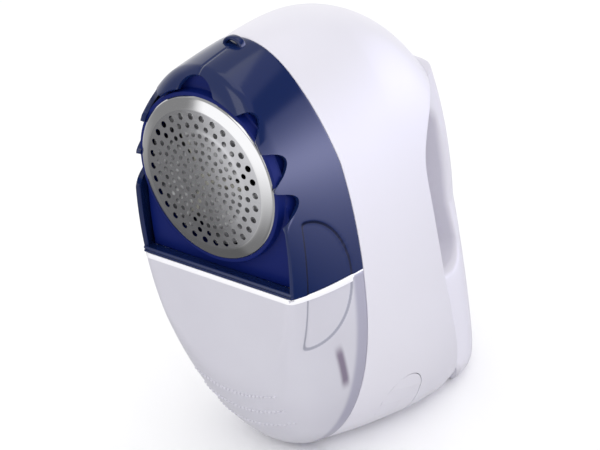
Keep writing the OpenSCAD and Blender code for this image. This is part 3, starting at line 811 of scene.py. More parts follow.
    def grip_half(self, z: Grid) -> Grid:
        """Half width of the handle at its middle.

        Args:
            z: Heights.

        Returns:
            It narrows from the heel to waist_z, with a round at the foot, and by 1 mm above z = 100.
        """
        share = (np.clip(z, 0, self.waist_z) / self.waist_z) ** 1.4
        low = mix(self.heel_half_width, self.grip_half_width, share)
        low = low - foot_curve(z, *self.foot_round_curve)
        high = mix(self.grip_half_width, self.grip_half_width - 1.0, (z - 100.0) / 33.0)
        return np.where(z < self.waist_z, low, high)

    def grip_x(self, y: Grid, z: Grid) -> Grid:
        """Half width of the handle at a depth and height.

        Args:
            y: Depths.
            z: Heights.

        Returns:
            (1 - |t|^n)^(1/n) of grip_half, with t the share of the way to the back or the front.
        """
        rear = y > self.grip_mid_y
        n = np.where(rear, mix(2.1, 3.0, z / 80.0), 7.0)
        reach = np.where(rear, self.back_line(z) - self.grip_mid_y, self.grip_front)
        t = np.clip(np.abs(y - self.grip_mid_y) / reach, 0.0, 1.0)
        return self.grip_half(z) * (1 - t ** n) ** (1 / n)

    def is_handle(self, y: Grid, z: Grid) -> Grid:
        """Whether places belong to the handle cover, behind the crease and under its top line.

        Args:
            y: Depths.
            z: Heights.

        Returns:
            True for each place on the cover.
        """
        low_part = (z < self.cover_z) & (y > self.crease_y(z))
        top = np.interp(y, [self.cover_y, 104.0, 150.0], [self.cover_z, 128.0, 131.0])
        return low_part | ((y > self.cover_y) & (z < top))

    def inside_back(self, y: Grid, z: Grid) -> Grid:
        """Whether a depth and height lie in front of the handle's back and above the floor."""
        return (z > 0.0) & (y < self.back_line(z))


def first_hit(start: Grid, end: Grid, test: Callable[[Grid], Grid], steps: int = 400) -> Grid:
    """Share of the way from start to end where a test first holds, refined by halving.

    Args:
        start: Start points, last axis the coordinates.
        end: End points.
        test: Takes points and returns whether each has arrived.
        steps: Number of first trial steps.

    Returns:
        The share for each pair, 1 where the test never holds.
    """
    share = np.linspace(0.0, 1.0, steps)
    trial = start[..., None, :] + (end - start)[..., None, :] * share[:, None]
    hit = test(trial)
    hit[..., -1] = True
    index = np.argmax(hit, axis=-1)
    high = share[index]
    low = share[np.maximum(index - 1, 0)]
    for _ in range(14):
        mid = (low + high) / 2
        arrived = test(start + (end - start) * mid[..., None])
        high, low = np.where(arrived, mid, high), np.where(arrived, low, mid)
    return high


@dataclass
class Shaver:
    """What every sub-assembly needs: the lay-out, the outer form and the materials."""

    layout: Layout
    form: ShellForm
    finishes: Finishes

    def add(self, name: str, points: Grid, faces: Sequence, *finishes: Material,
            facing: Facing = Facing.OUT, sharp: float = SMOOTH_DEG, body: str = "housing",
            slot: str = "", face_finish: Grid | None = None) -> Object:
        """Makes a piece from points and faces, merged, turned outwards and dressed.

        Args:
            name: Name of the piece.
            points: Points in lay-out millimetres.
            faces: Point numbers of each face.
            finishes: Materials, the first for most faces.
            facing: Which way the faces look when the surface isn't closed.
            sharp: Angle in degrees past which an edge isn't smoothed.
            body: CAD body that the piece moves with.
            slot: Material slot of the record for the piece; not used.
            face_finish: Number of each face's material, where there is more than one.

        Returns:
            The new object.
        """
        mesh = bpy.data.meshes.new(name)
        listed = faces.tolist() if isinstance(faces, np.ndarray) else list(faces)
        mesh.from_pydata(self.layout.metres(np.asarray(points).reshape(-1, 3)), [], listed)
        for finish in finishes:
            mesh.materials.append(finish)
        if face_finish is not None:
            mesh.polygons.foreach_set("material_index", np.asarray(face_finish, np.int32))
        work = bmesh.new()
        work.from_mesh(mesh)
        bmesh.ops.remove_doubles(work, verts=work.verts, dist=MERGE_M)
        bmesh.ops.dissolve_degenerate(work, edges=work.edges, dist=1e-7)
        bmesh.ops.recalc_face_normals(work, faces=work.faces)
        middle = sum((v.co for v in work.verts), Vector()) / max(len(work.verts), 1)
        front = Vector((0.0, -1.0, 0.0))
        lean = sum(f.normal.dot(front if facing is Facing.FRONT else f.calc_center_median() - middle)
                   * f.calc_area() for f in work.faces)
        if lean < 0:
            bmesh.ops.reverse_faces(work, faces=work.faces)
        work.to_mesh(mesh)
        work.free()
        smooth(mesh, sharp)
        piece = link_object(name, mesh)
        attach(piece, body)
        LOG.info("%s: %d points, %d faces", name, len(mesh.vertices), len(mesh.polygons))
        return piece

    def cut(self, piece: Object, outline: Sequence, low: float, high: float) -> None:
        """Cuts a prism along x out of a piece.

        Args:
            piece: The piece to cut.
            outline: Points (y, z) in order round the prism, in lay-out millimetres.
            low: Least x.
            high: Greatest x.
        """
        n = len(outline)
        ends = [np.column_stack([np.full(n, x), outline]) for x in (low, high)]
        sides = grid_faces(2, n, wrap_cols=True).tolist()
        faces = [list(range(n))[::-1], list(range(n, 2 * n)), *sides]
        helper = self.add("helper", np.concatenate(ends), faces)
        finish_with(piece, "BOOLEAN", object=helper, operation="DIFFERENCE", solver="EXACT")
        apply_modifiers(piece)
        bpy.data.objects.remove(helper)
        smooth(piece.data)


@dataclass
class WhiteShell:
    """Main housing: the white shell from the head's split back to the crease and the crown."""

    kit: Shaver
    wall: float = 2.4
    around: int = 360
    along: int = 64
    crease_round: float = 1.1
    rim_round: float = 0.35
    floor_round: float = 1.0
    lip_depth: float = 7.0
    rear_y: float = 117.0
    bulkhead_top: float = 85.0
    tongue: tuple[float, float, float] = (53.0, 17.5, 9.5)  # depth, height and radius of its top
    tongue_sides: tuple[float, float] = (20.0, 60.0)  # least and greatest x of its cutter
    door_depths: tuple[float, float] = (44.5, 75.5)
    door_half: float = 27.5
    door_top: float = 7.0
    below: float = -3.0  # where the cutters end under the floor

    def meridians(self) -> tuple[Grid, Grid, Grid]:
        """Lines from front to back.

        Returns:
            Their angles and their first and last depths.
        """
        form = self.kit.form
        angle = np.linspace(0.0, 2 * np.pi, self.around, endpoint=False)
        first = np.full_like(angle, form.split_y)
        for _ in range(SETTLE):
            first = form.split_line(form.point(first, angle)[..., 2])
        last = np.full_like(angle, self.rear_y)

        def arrived(point: Grid) -> Grid:
            """Whether points (angle, depth) have come to the handle cover."""
            place = form.point(point[..., 1], point[..., 0])
            return form.is_handle(place[..., 1], np.maximum(place[..., 2], 0.0))

        share = first_hit(np.stack([angle, first], -1), np.stack([angle, last], -1), arrived)
        return angle, first, first + (last - first) * share

    def build(self) -> None:
        """Builds the shell as one grid: inner lip, rim, outside, crease, rear wall to the middle.

        The foot is flattened by (z + sqrt(z^2 + r^2)) / 2 - r exp(-z) / 4, which rounds its edge.
        """
        form = self.kit.form
        angle, first, last = self.meridians()
        near = np.minimum(1.6 / np.maximum(last - first, 1.0), 0.05)
        share = near + (1 - 2 * near) * np.linspace(0, 1, self.along)[:, None]
        outside = [form.point(y, angle) for y in first + (last - first) * share]
        edge = form.point(last, angle)
        wall_rows = [edge * [k, 1, 1] for k in (0.93, 0.7, 0.45, 0.2, 0.0)]
        rows = [form.point(first + self.lip_depth, angle, self.wall), form.point(first, angle, self.wall),
                form.point(first, angle), *outside, edge, *wall_rows]
        rows = softened(rows, len(rows) - 6, self.crease_round)
        rows = softened(rows, 2, self.rim_round, 4)
        rows = softened(rows, 1, self.rim_round, 4)
        points = np.stack(rows)
        z = points[..., 2]
        points[..., 2] = 0.5 * (z + np.sqrt(z * z + self.floor_round ** 2)) - 0.25 * self.floor_round \
            * np.exp(-np.maximum(z, 0.0))
        points[..., 2] = np.maximum(points[..., 2], 0.0)
        faces = grid_faces(len(rows), self.around, wrap_cols=True)
        piece = self.kit.add("white_shell", points, faces, self.kit.finishes.white, slot="white_shell")
        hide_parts("main_housing")
        self.cut_for_door(piece)
        self.build_bulkhead()

    def cut_for_door(self, piece: Object) -> None:
        """Cuts the openings of the battery door: two side tongues and the floor between them.

        Args:
            piece: The white shell.
        """
        gap = self.kit.form.gap
        y, z, radius = self.tongue
        turn, reach = np.linspace(0, np.pi, 40), radius + gap
        arc = np.column_stack([y + reach * np.cos(turn), z + reach * np.sin(turn)])
        outline = np.concatenate([arc, [[y - reach, self.below], [y + reach, self.below]]])
        near, far = self.tongue_sides
        self.kit.cut(piece, outline, -far, -near)
        self.kit.cut(piece, outline, near, far)
        front, back = self.door_depths[0] - gap, self.door_depths[1] + gap
        floor = np.array([[front, self.below], [back, self.below], [back, self.door_top],
                          [front, self.door_top]])
        half = self.door_half + gap
        self.kit.cut(piece, floor, -half, half)

    def build_bulkhead(self) -> None:
        """Builds the wall behind the lint bin: a dish that follows the shell, 2 mm inside it."""
        form = self.kit.form
        angle = np.linspace(0.0, 2 * np.pi, 200, endpoint=False)
        rim = form.point(form.split_y + 0.2, angle, self.wall - 0.2)
        rim[:, 2] = np.minimum(rim[:, 2], self.bulkhead_top)
        middle = np.array([0.0, form.split_y + 0.2, 45.0])
        rows = [middle + (rim - middle) * k for k in (0.0, 0.35, 0.7, 0.93, 1.0)]
        rows.append(rim + [0.0, 2.0, 0.0])
        faces = grid_faces(len(rows), 200, wrap_cols=True)
        self.kit.add("bin_bulkhead", np.stack(rows), faces, self.kit.finishes.white,
                     facing=Facing.FRONT, slot="white_shell")


@dataclass
class HandleCover:
    """The loop handle's rear half: a rounded slab with the finger gap through it."""

    kit: Shaver
    grip_thick: float = 13.5
    gap_low: float = 47.0
    gap_high: float = 113.0
    gap_corner: float = 9.0
    eye: tuple[float, float] = (93.0, 80.0)  # where the spokes start, in depth and height
    reach: float = 90.0  # how far a spoke looks for the cover's edge
    around: int = 300
    across: int = 30
    edge_round: float = 3.0
    window_middle: tuple[float, float] = (114.2, 101.0)
    window_lean: float = 14.0
    window_half: tuple[float, float] = (5.2, 9.5)  # half width and half height
    window_depths: tuple[float, float] = (-2.0, 8.0)  # from inside the wall to outside it

    def gap_outline(self) -> Grid:
        """Outline of the finger gap: the hull of six circles, by their support lines.

        Returns:
            Points (y, z), evenly spaced round the outline.
        """
        form = self.kit.form
        corner, high = self.gap_corner, self.gap_high
        low = self.gap_low + corner
        front_y = form.crease_y(np.array([low, 88.0, high - 12.0])) + [7.0, -1.0, 6.0]
        front = np.column_stack([front_y, [low, 88.0, high - 10.0], [corner, 1.0, 10.0]])
        radii = np.array([corner, 20.0, 10.0])
        back_y = form.back_line(np.array([low, 82.0, high - 9.0])) - self.grip_thick - radii
        circles = np.concatenate([front, np.column_stack([back_y, [low, 82.0, high - 10.0], radii])])
        turn = np.linspace(-np.pi, np.pi, 2000, endpoint=False)
        normal = np.column_stack([np.cos(turn), np.sin(turn)])
        best = np.argmax(normal @ circles[:, :2].T + circles[:, 2], axis=1)
        outline = circles[best, :2] + circles[best, 2:] * normal
        closed = np.concatenate([outline, outline[:1]])
        length = np.concatenate([[0.0], np.cumsum(np.linalg.norm(np.diff(closed, axis=0), axis=1))])
        even = np.linspace(0.0, length[-1], self.around, endpoint=False)
        return np.column_stack([np.interp(even, length, closed[:, k]) for k in (0, 1)])

    def build(self) -> None:
        """Builds the cover: spokes run from the finger gap's outline out to the back or the crease.

        Along a spoke the half width is the handle's own, less a round of edge_round at the gap.
        """
        form = self.kit.form
        inner = self.gap_outline()
        away = unit(inner - self.eye)

        def outside(place: Grid) -> Grid:
            """Whether places (depth, height) have left the cover."""
            y, z = place[..., 0], place[..., 1]
            return ~(form.is_handle(y, z) & form.inside_back(y, z))

        spoke = self.reach * first_hit(inner, inner + away * self.reach, outside)
        u = np.linspace(0.0, 1.0, self.across)
        fall = 1 - (1 - u) ** 2.6
        lead = np.linspace(0.0, 1.0, 7)[:-1] ** 2 * self.edge_round
        along = np.minimum(lead[:, None], spoke[None, :] * 0.4)
        start = np.minimum(self.edge_round, spoke * 0.4)
        rest = start + (spoke - start) * fall[:, None]
        distance = np.concatenate([along, rest])
        place = inner[None] + away[None] * distance[..., None]
        x = form.grip_x(place[..., 0], place[..., 1])
        left = np.clip(self.edge_round - distance, 0.0, None)
        x = x - (self.edge_round - np.sqrt(np.maximum(self.edge_round ** 2 - left ** 2, 0.0)))
        side = np.concatenate([x[..., None], place], axis=-1)
        side[..., 0] = np.maximum(side[..., 0], 0.0)
        wall_rows = np.stack([side[0] * [k, 1, 1] for k in (0.0, 0.35, 0.7)])
        close = np.stack([side[-1] * [k, 1, 1] for k in (0.6, 0.0)])
        half = np.concatenate([wall_rows, side, close])
        other = half[1:-1][::-1] * [-1, 1, 1]
        points = np.concatenate([half, other])
        points[..., 2] = np.maximum(points[..., 2], 0.0)
        faces = grid_faces(len(points), self.around, wrap_rows=True, wrap_cols=True)
        piece = self.kit.add("handle_rear", points, faces, self.kit.finishes.white, slot="white_shell")
        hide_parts("handle_cover")
        self.cut_for_switch(piece)

    def cut_for_switch(self, piece: Object) -> None:
        """Cuts the window that the switch button slides in, square to the leaning back.

        Args:
            piece: The handle cover.
        """
        (wide, tall), (near, far) = self.window_half, self.window_depths
        lean = math.radians(self.window_lean)
        turn = np.array([[math.cos(lean), math.sin(lean)], [-math.sin(lean), math.cos(lean)]])
        corners = np.array([[near, -tall], [far, -tall], [far, tall], [near, tall]])
        self.kit.cut(piece, self.window_middle + corners @ turn, -wide, wide)


@dataclass
class Guard:
    """The navy distance guard: a polished hood whose front edge is cut into teeth."""

    kit: Shaver
    thick: float = 1.6
    low_z: float = 83.0
    # Middle angle, half angle in degrees and depth of each notch on the right, and of the one on top
    notches: tuple[tuple[float, float, float], ...] = (
        (48.6, 9.7, 5.0), (19.0, 11.8, 8.0), (-4.8, 10.3, 8.0))
    top_notch: tuple[float, float, float] = (90.0, 14.5, 2.7)
    notch_powers: tuple[float, float] = (1.4, 1.1)
    tooth_reach: float = 32.0  # radius that the teeth's tips lean in to
    lean_length: float = 6.5
    lean_inset: float = 6.5
    column_step: float = 0.7
    edge_y: float = 0.35
    edge_inset: float = 1.2
    eye_y: float = 22.0
    eye_half: float = 3.7
    eye_rise: float = 3.1
    along: int = 46

    def edge_depth(self, phi: Grid) -> Grid:
        """Depth of the front edge round the head's axis.

        Each notch is a wave D (1 - t^2)^n with t the share of its half angle; teeth lie between.

        Args:
            phi: Angles in degrees from the right, upwards.

        Returns:
            The depths.
        """
        phi = np.where(phi > 90.0, 180.0 - phi, phi)
        depth = np.full_like(phi, self.edge_y)
        side_power, top_power = self.notch_powers
        waves = [(*notch, side_power) for notch in self.notches] + [(*self.top_notch, top_power)]
        for centre, half, deep, power in waves:
            t = np.clip(np.abs(phi - centre) / half, 0.0, 1.0)
            depth = np.maximum(depth, self.edge_y + deep * (1 - t ** 2) ** power)
        return depth

    def columns(self) -> Grid:
        """Angles of the lines from front to back, closer together beside the fold at the top."""
        right = np.concatenate([np.arange(-62.0, 88.0, self.column_step), np.linspace(88.2, 90.0, 10)])
        return np.concatenate([right, 180.0 - right[-2::-1]])

    def sheet(self) -> Grid:
        """Outer surface of the guard.

        Each line runs from the front edge to the split at its own share of the section's arc. Near the
        edge it draws in by c ((l - y) / l)^2.2, so that the teeth lean over the foil's rim.

        Returns:
            Rows of points from front to back.
        """
        form = self.kit.form
        fraction = np.linspace(0.0, 1.0, 721)
        y_ref = np.full_like(fraction, 3.0)
        low_ref = form.angle_at(y_ref, self.low_z)
        ref = form.point(y_ref, low_ref + (np.pi - 2 * low_ref) * fraction)
        ref_phi = (np.degrees(np.arctan2(ref[:, 2] - form.head_z, ref[:, 0])) + 90.0) % 360.0 - 90.0
        share = np.interp(self.columns(), ref_phi, fraction)
        share[0], share[-1] = 0.0, 1.0

        def angle(y: Grid) -> Grid:
            """Angle of each line at its depth."""
            low = form.angle_at(y, self.low_z)
            return low + (np.pi - 2 * low) * share

        phi = np.interp(share, fraction, ref_phi)
        first = self.edge_depth(phi)
        last = np.full_like(first, form.split_y)
        for _ in range(SETTLE):
            last = form.split_line(form.point(last, angle(last))[..., 2]) - form.gap
        front = form.point(np.zeros_like(first), angle(np.zeros_like(first)))
        reach = np.hypot(front[:, 0], front[:, 2] - form.head_z)
        toothed = ramp(phi, -18.0, -8.0) * ramp(180.0 - phi, -18.0, -8.0)
        least = self.edge_inset
        corner = np.clip(reach - self.tooth_reach, least, self.lean_inset) * toothed + least * (1 - toothed)
        length = least + (self.lean_length - least) * toothed
        v = np.linspace(0.0, 1.0, self.along)[:, None] ** 1.7
        depth = first + (last - first) * v
        inset = corner * np.clip((length - depth) / length, 0.0, 1.0) ** 2.2
        rows = np.stack([form.point(y, angle(y), i) for y, i in zip(depth, inset)])
        return self.shaped(rows)

    def shaped(self, rows: Grid) -> Grid:
        """Presses the thumb dish in and folds the top along its middle, in front of the eye.

        Args:
            rows: Points of the outer surface.

        Returns:
            The same points, moved inwards by 0.4 mm in the dish and 0.22 mm in the fold.
        """
        out = unit(rows - np.array([0.0, 45.0, 95.0]))
        fold = ramp(0.9 - np.abs(rows[..., 0]), 0.0, 0.9) * ramp(rows[..., 2], 140, 145)
        fold *= ramp(20.0 - rows[..., 1], 0.0, 2.0)
        return rows - out * (0.4 * thumb_dish(rows) + 0.22 * fold)[..., None]

    def build(self) -> None:
        """Builds the hood, its front bar and the eye at its top."""
        rows = self.sheet()
        faces = grid_faces(rows.shape[0], rows.shape[1])
        piece = self.kit.add("guard_hood", rows, faces, self.kit.finishes.navy,
                             body="guard", slot="navy_guard")
        finish_with(piece, "SOLIDIFY", thickness=self.thick * MM, offset=-1.0, use_even_offset=True)
        finish_with(piece, "BEVEL", width=0.6 * MM, segments=3, limit_method="ANGLE",
                    angle_limit=math.radians(50.0))
        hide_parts("fabric_guard")
        self.build_bar()
        self.build_eye()

    def build_bar(self) -> None:
        """Builds the double-lipped bar along the hood's lower front: a section swept along x."""
        form = self.kit.form
        end = form.point(np.array(2.0), form.angle_at(np.array(2.0), self.low_z + 2.0))[0] - 0.7
        low = self.low_z
        section = np.array([[0.25, low + 0.1], [0.25, low + 0.8], [0.65, low + 0.95], [0.65, low + 1.2],
                            [0.25, low + 1.35], [0.3, low + 2.0], [0.5, low + 2.3], [1.3, low + 2.3],
                            [1.5, low + 1.6], [4.8, low + 1.6], [4.8, low + 0.1]])
        x = np.linspace(-end, end, 40)
        rows = np.stack([np.column_stack([np.full(len(section), k), section]) for k in x])
        faces = grid_faces(len(x), len(section), wrap_cols=True).tolist()
        last = (len(x) - 1) * len(section)
        faces += [list(range(len(section))), [last + k for k in range(len(section))][::-1]]
        piece = self.kit.add("guard_bar", rows, faces, self.kit.finishes.navy,
                             body="guard", slot="navy_guard", sharp=30.0)
        finish_with(piece, "BEVEL", width=0.12 * MM, segments=2, limit_method="ANGLE",
                    angle_limit=math.radians(35.0))

    def build_eye(self) -> None:
        """Builds the lifting eye: a flat tube swept over an arch, (a cos t, b sin^0.8 t) above the hood."""
        form = self.kit.form
        base = float(form.top_z(np.array(self.eye_y))) - 1.2
        turn = np.linspace(0.0, np.pi, 40)
        path = np.column_stack([self.eye_half * np.cos(turn), np.full_like(turn, self.eye_y),
                                base + self.eye_rise * np.sin(turn) ** 0.8])
        ahead = unit(np.gradient(path, axis=0))
        side = np.array([0.0, 1.0, 0.0])
        up = np.cross(side, ahead)
        k = np.linspace(0, 2 * np.pi, 16, endpoint=False)
        ring = 1.5 * spow(np.cos(k), 0.7)[:, None, None] * side + \
            0.75 * spow(np.sin(k), 0.7)[:, None, None] * up[None]
        rows = (path[None] + ring).transpose(1, 0, 2)
        faces = grid_faces(len(turn), len(k), wrap_cols=True)
        self.kit.add("guard_eye", rows, faces, self.kit.finishes.navy, body="guard", slot="navy_guard")


def thumb_dish(points: Grid) -> Grid:
    """Share of the thumb dish's depth on either side of the head.

    Args:
        points: Points (x, y, z) of an outer surface.

    Returns:
        1 inside a half ellipse behind a straight leaning front edge, 0 outside, a smooth step between.
    """
    x, y, z = np.moveaxis(points, -1, 0)
    (ry, rz), soft = DISH_RADII, DISH_SOFT
    inwards = (1 - np.hypot((y - DISH_Y) / ry, (z - DISH_Z) / rz)) * ry
    behind = y - (DISH_Y + (z - DISH_Z) * DISH_LEAN)
    return ramp(inwards, -soft, soft) * ramp(behind, -soft, soft) * (np.abs(x) > 20)


@dataclass
class LintBin:
    """The clear lint bin: a milky bowl with a flat front, a thick rear band and rows of beads."""

    kit: Shaver
    thick: float = 1.6
    top_z: float = 82.7
    edge_round: float = 1.6
    around: int = 260
    bead_r: float = 0.85
    bead_rows: tuple[float, ...] = (38.0, 30.0, 22.0)
    bead_reach: float = 18.5
    bead_sag: float = 0.008
    beads: int = 23
    strip: tuple[float, float] = (1.6, 2.4)  # height of the bright edge in front and behind
    dish_depth: float = 0.55

    def rows(self) -> Grid:
        """Outer surface: the flat front fans out to the edge, then the bowl runs back to the split.

        Returns:
            Rows of points from the front's seed to the rear edge.
        """
        form = self.kit.form
        share = np.linspace(0.0, 1.0, self.around)

        def angle(y: Grid) -> Grid:
            """Angle of each line at its depth, from the right rim down and round to the left."""
            low = form.angle_at(y, self.top_z)
            return low - (np.pi + 2 * low) * share

        depth = np.concatenate([[0.0], 0.3 * np.arange(1, 8) ** 1.35,
                                np.linspace(5.2, form.split_y - form.gap, 46)])
        bowl = [form.point(y, angle(y), 0.0, self.edge_round)
                for y in (np.full(self.around, d) for d in depth)]
        seed = np.array([0.0, 0.0, self.top_z])
        front = [seed + (bowl[0] - seed) * k for k in np.linspace(0.0, 1.0, 26)[:-1]]
        rows = np.stack([*front, *bowl])
        rows[..., 2] = np.clip(rows[..., 2], 0.0, self.top_z)
        return rows - unit(rows - [0.0, 45.0, 80.0]) * (self.dish_depth * thumb_dish(rows))[..., None]

    def build(self) -> None:
        """Builds the bowl, its bright upper edge and its beads."""
        rows = self.rows()
        faces = grid_faces(rows.shape[0], rows.shape[1])
        piece = self.kit.add("bin_bowl", rows, faces, self.kit.finishes.bin,
                             body="bin", slot="clear_bin")
        finish_with(piece, "SOLIDIFY", thickness=self.thick * MM, offset=-1.0, use_even_offset=True)
        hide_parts("lint_bin")
        self.build_edge()
        self.build_beads()

    def build_edge(self) -> None:
        """Builds the polished upper edge, painted near white as a highlight: a strip that follows the rim
        and is taller towards the rear.
        """
        form = self.kit.form
        front = 30
        y = np.concatenate([np.zeros(front), np.linspace(0.0, form.split_y - form.gap, 40)[1:]])
        rim = form.point(y, form.angle_at(y, self.top_z))
        rim[:front, 0] = np.linspace(0.0, rim[front - 1, 0] - 1.2, front)
        rim[front:, 0] -= np.where(rim[front:, 1] < 1.2, 0.3, 0.0)
        line = np.concatenate([rim[::-1] * [-1, 1, 1], rim[1:]])
        centre = np.array([0.0, 40.0, self.top_z])
        inward = unit((centre - line) * [1, 1, 0])
        foot = -mix(self.strip[0], self.strip[1], line[:, 1] / form.split_y)
        level = np.zeros_like(foot)
        rise = np.array([0.0, 0.0, 1.0])
        rows = np.stack([line + inward * i + rise * z[:, None] for i, z in (
            (-0.02, foot), (-0.02, level), (0.15, level + 0.3), (1.8, level + 0.3), (1.8, foot))])
        faces = grid_faces(len(rows), len(line), wrap_rows=True)
        # The edge's near-white finish is a painted highlight
        self.kit.add("bin_edge", rows, faces, self.kit.finishes.edge, body="bin", slot="clear_bin")

    def build_beads(self) -> None:
        """Builds the grip beads: domes r (cos v cos u, cos v sin u, sin v) in three sagging rows.

        A row hangs by s (X^2 - x^2) between its ends at X, and each bead's depth is where the
        lower surface passes that height at the bead's x.
        """
        form = self.kit.form
        u, v = np.meshgrid(np.linspace(0, 2 * np.pi, 14, endpoint=False),
                           np.linspace(-np.pi / 2, np.pi / 2, 9))
        ball = np.stack([np.cos(v) * np.cos(u), np.cos(v) * np.sin(u), np.sin(v)], -1) * self.bead_r
        depth = np.linspace(0.6, 22.0, 160)
        angle = np.linspace(-0.5 * np.pi, -0.1 * np.pi, 400)
        lines = form.point(depth[:, None], angle[None], self.bead_r * 0.7, self.edge_round)
        spots = []
        for height in self.bead_rows:
            for x in np.linspace(-self.bead_reach, self.bead_reach, self.beads):
                z = np.array([np.interp(abs(x), line[:, 0], line[:, 2]) for line in lines])
                level = height - self.bead_sag * (self.bead_reach ** 2 - x * x)
                spots.append([x, np.interp(level, z[::-1], depth[::-1]), level])
        place = np.array(spots)
        points = place[:, None, None, :] + ball[None]
        faces = grid_faces(*u.shape, wrap_cols=True)
        step = u.size * np.arange(len(place))[:, None, None]
        self.kit.add("bin_beads", points, (faces[None] + step).reshape(-1, 4), self.kit.finishes.bin,
                     body="bin", slot="clear_bin")


@dataclass
class HeadPlate:
    """The royal-blue head plate: a flat face, a collar round the foil and a skirt under the guard."""

    kit: Shaver
    face_y: float = 5.0
    collar_y: float = 1.7
    bore_r: float = 28.5
    collar_r: float = 31.4
    inset: float = 2.92
    low_z: float = 84.2
    edge_round: float = 0.9

    def outline(self, y: float, inset: float) -> Grid:
        """Closed outline at a depth: the form's inset section over a straight lower edge.

        Args:
            y: The depth.
            inset: Distance inside the form.

        Returns:
            Its points in order.
        """
        form = self.kit.form
        depth = np.full(1, y)
        low = float(form.angle_at(depth, self.low_z, inset)[0])
        arc = form.point(np.full(220, y), np.linspace(low, np.pi - low, 220), inset)
        x = np.linspace(arc[-1, 0], arc[0, 0], 60)[1:-1]
        floor = np.column_stack([x, np.full(len(x), y), np.full(len(x), self.low_z)])
        return np.concatenate([arc, floor])

    def build(self) -> None:
        """Builds the plate from its bore out over the collar, across the face and back as a skirt."""
        form = self.kit.form
        edge = self.outline(self.face_y, self.inset)
        phi = np.arctan2(edge[:, 2] - form.head_z, edge[:, 0])

        bore, collar, top, face = self.bore_r, self.collar_r, self.collar_y, self.face_y
        section = ((bore, 8.0), (bore, top + 0.3), (bore + 0.3, top), (collar - 0.7, top),
                   (collar - 0.2, top + 0.2), (collar, top + 0.7), (collar + 0.05, face - 0.6),
                   (collar + 0.25, face - 0.2), (collar + 0.7, face))
        rows = [np.column_stack([r * np.cos(phi), np.full_like(phi, y), form.head_z + r * np.sin(phi)])
                for r, y in section]
        foot = rows[-1]
        rows += [foot + (edge - foot) * k for k in (0.3, 0.6, 0.9, 1.0)]
        rows += [self.outline(y, self.inset) for y in (7.0, 10.0, 14.0, 19.0, 25.0, form.split_y)]
        rows = softened(rows, len(section) + 3, self.edge_round)
        faces = grid_faces(len(rows), len(edge), wrap_cols=True)
        piece = self.kit.add("head_face", np.stack(rows), faces, self.kit.finishes.royal,
                             facing=Facing.FRONT, slot="royal_blue")
        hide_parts("head_plate")


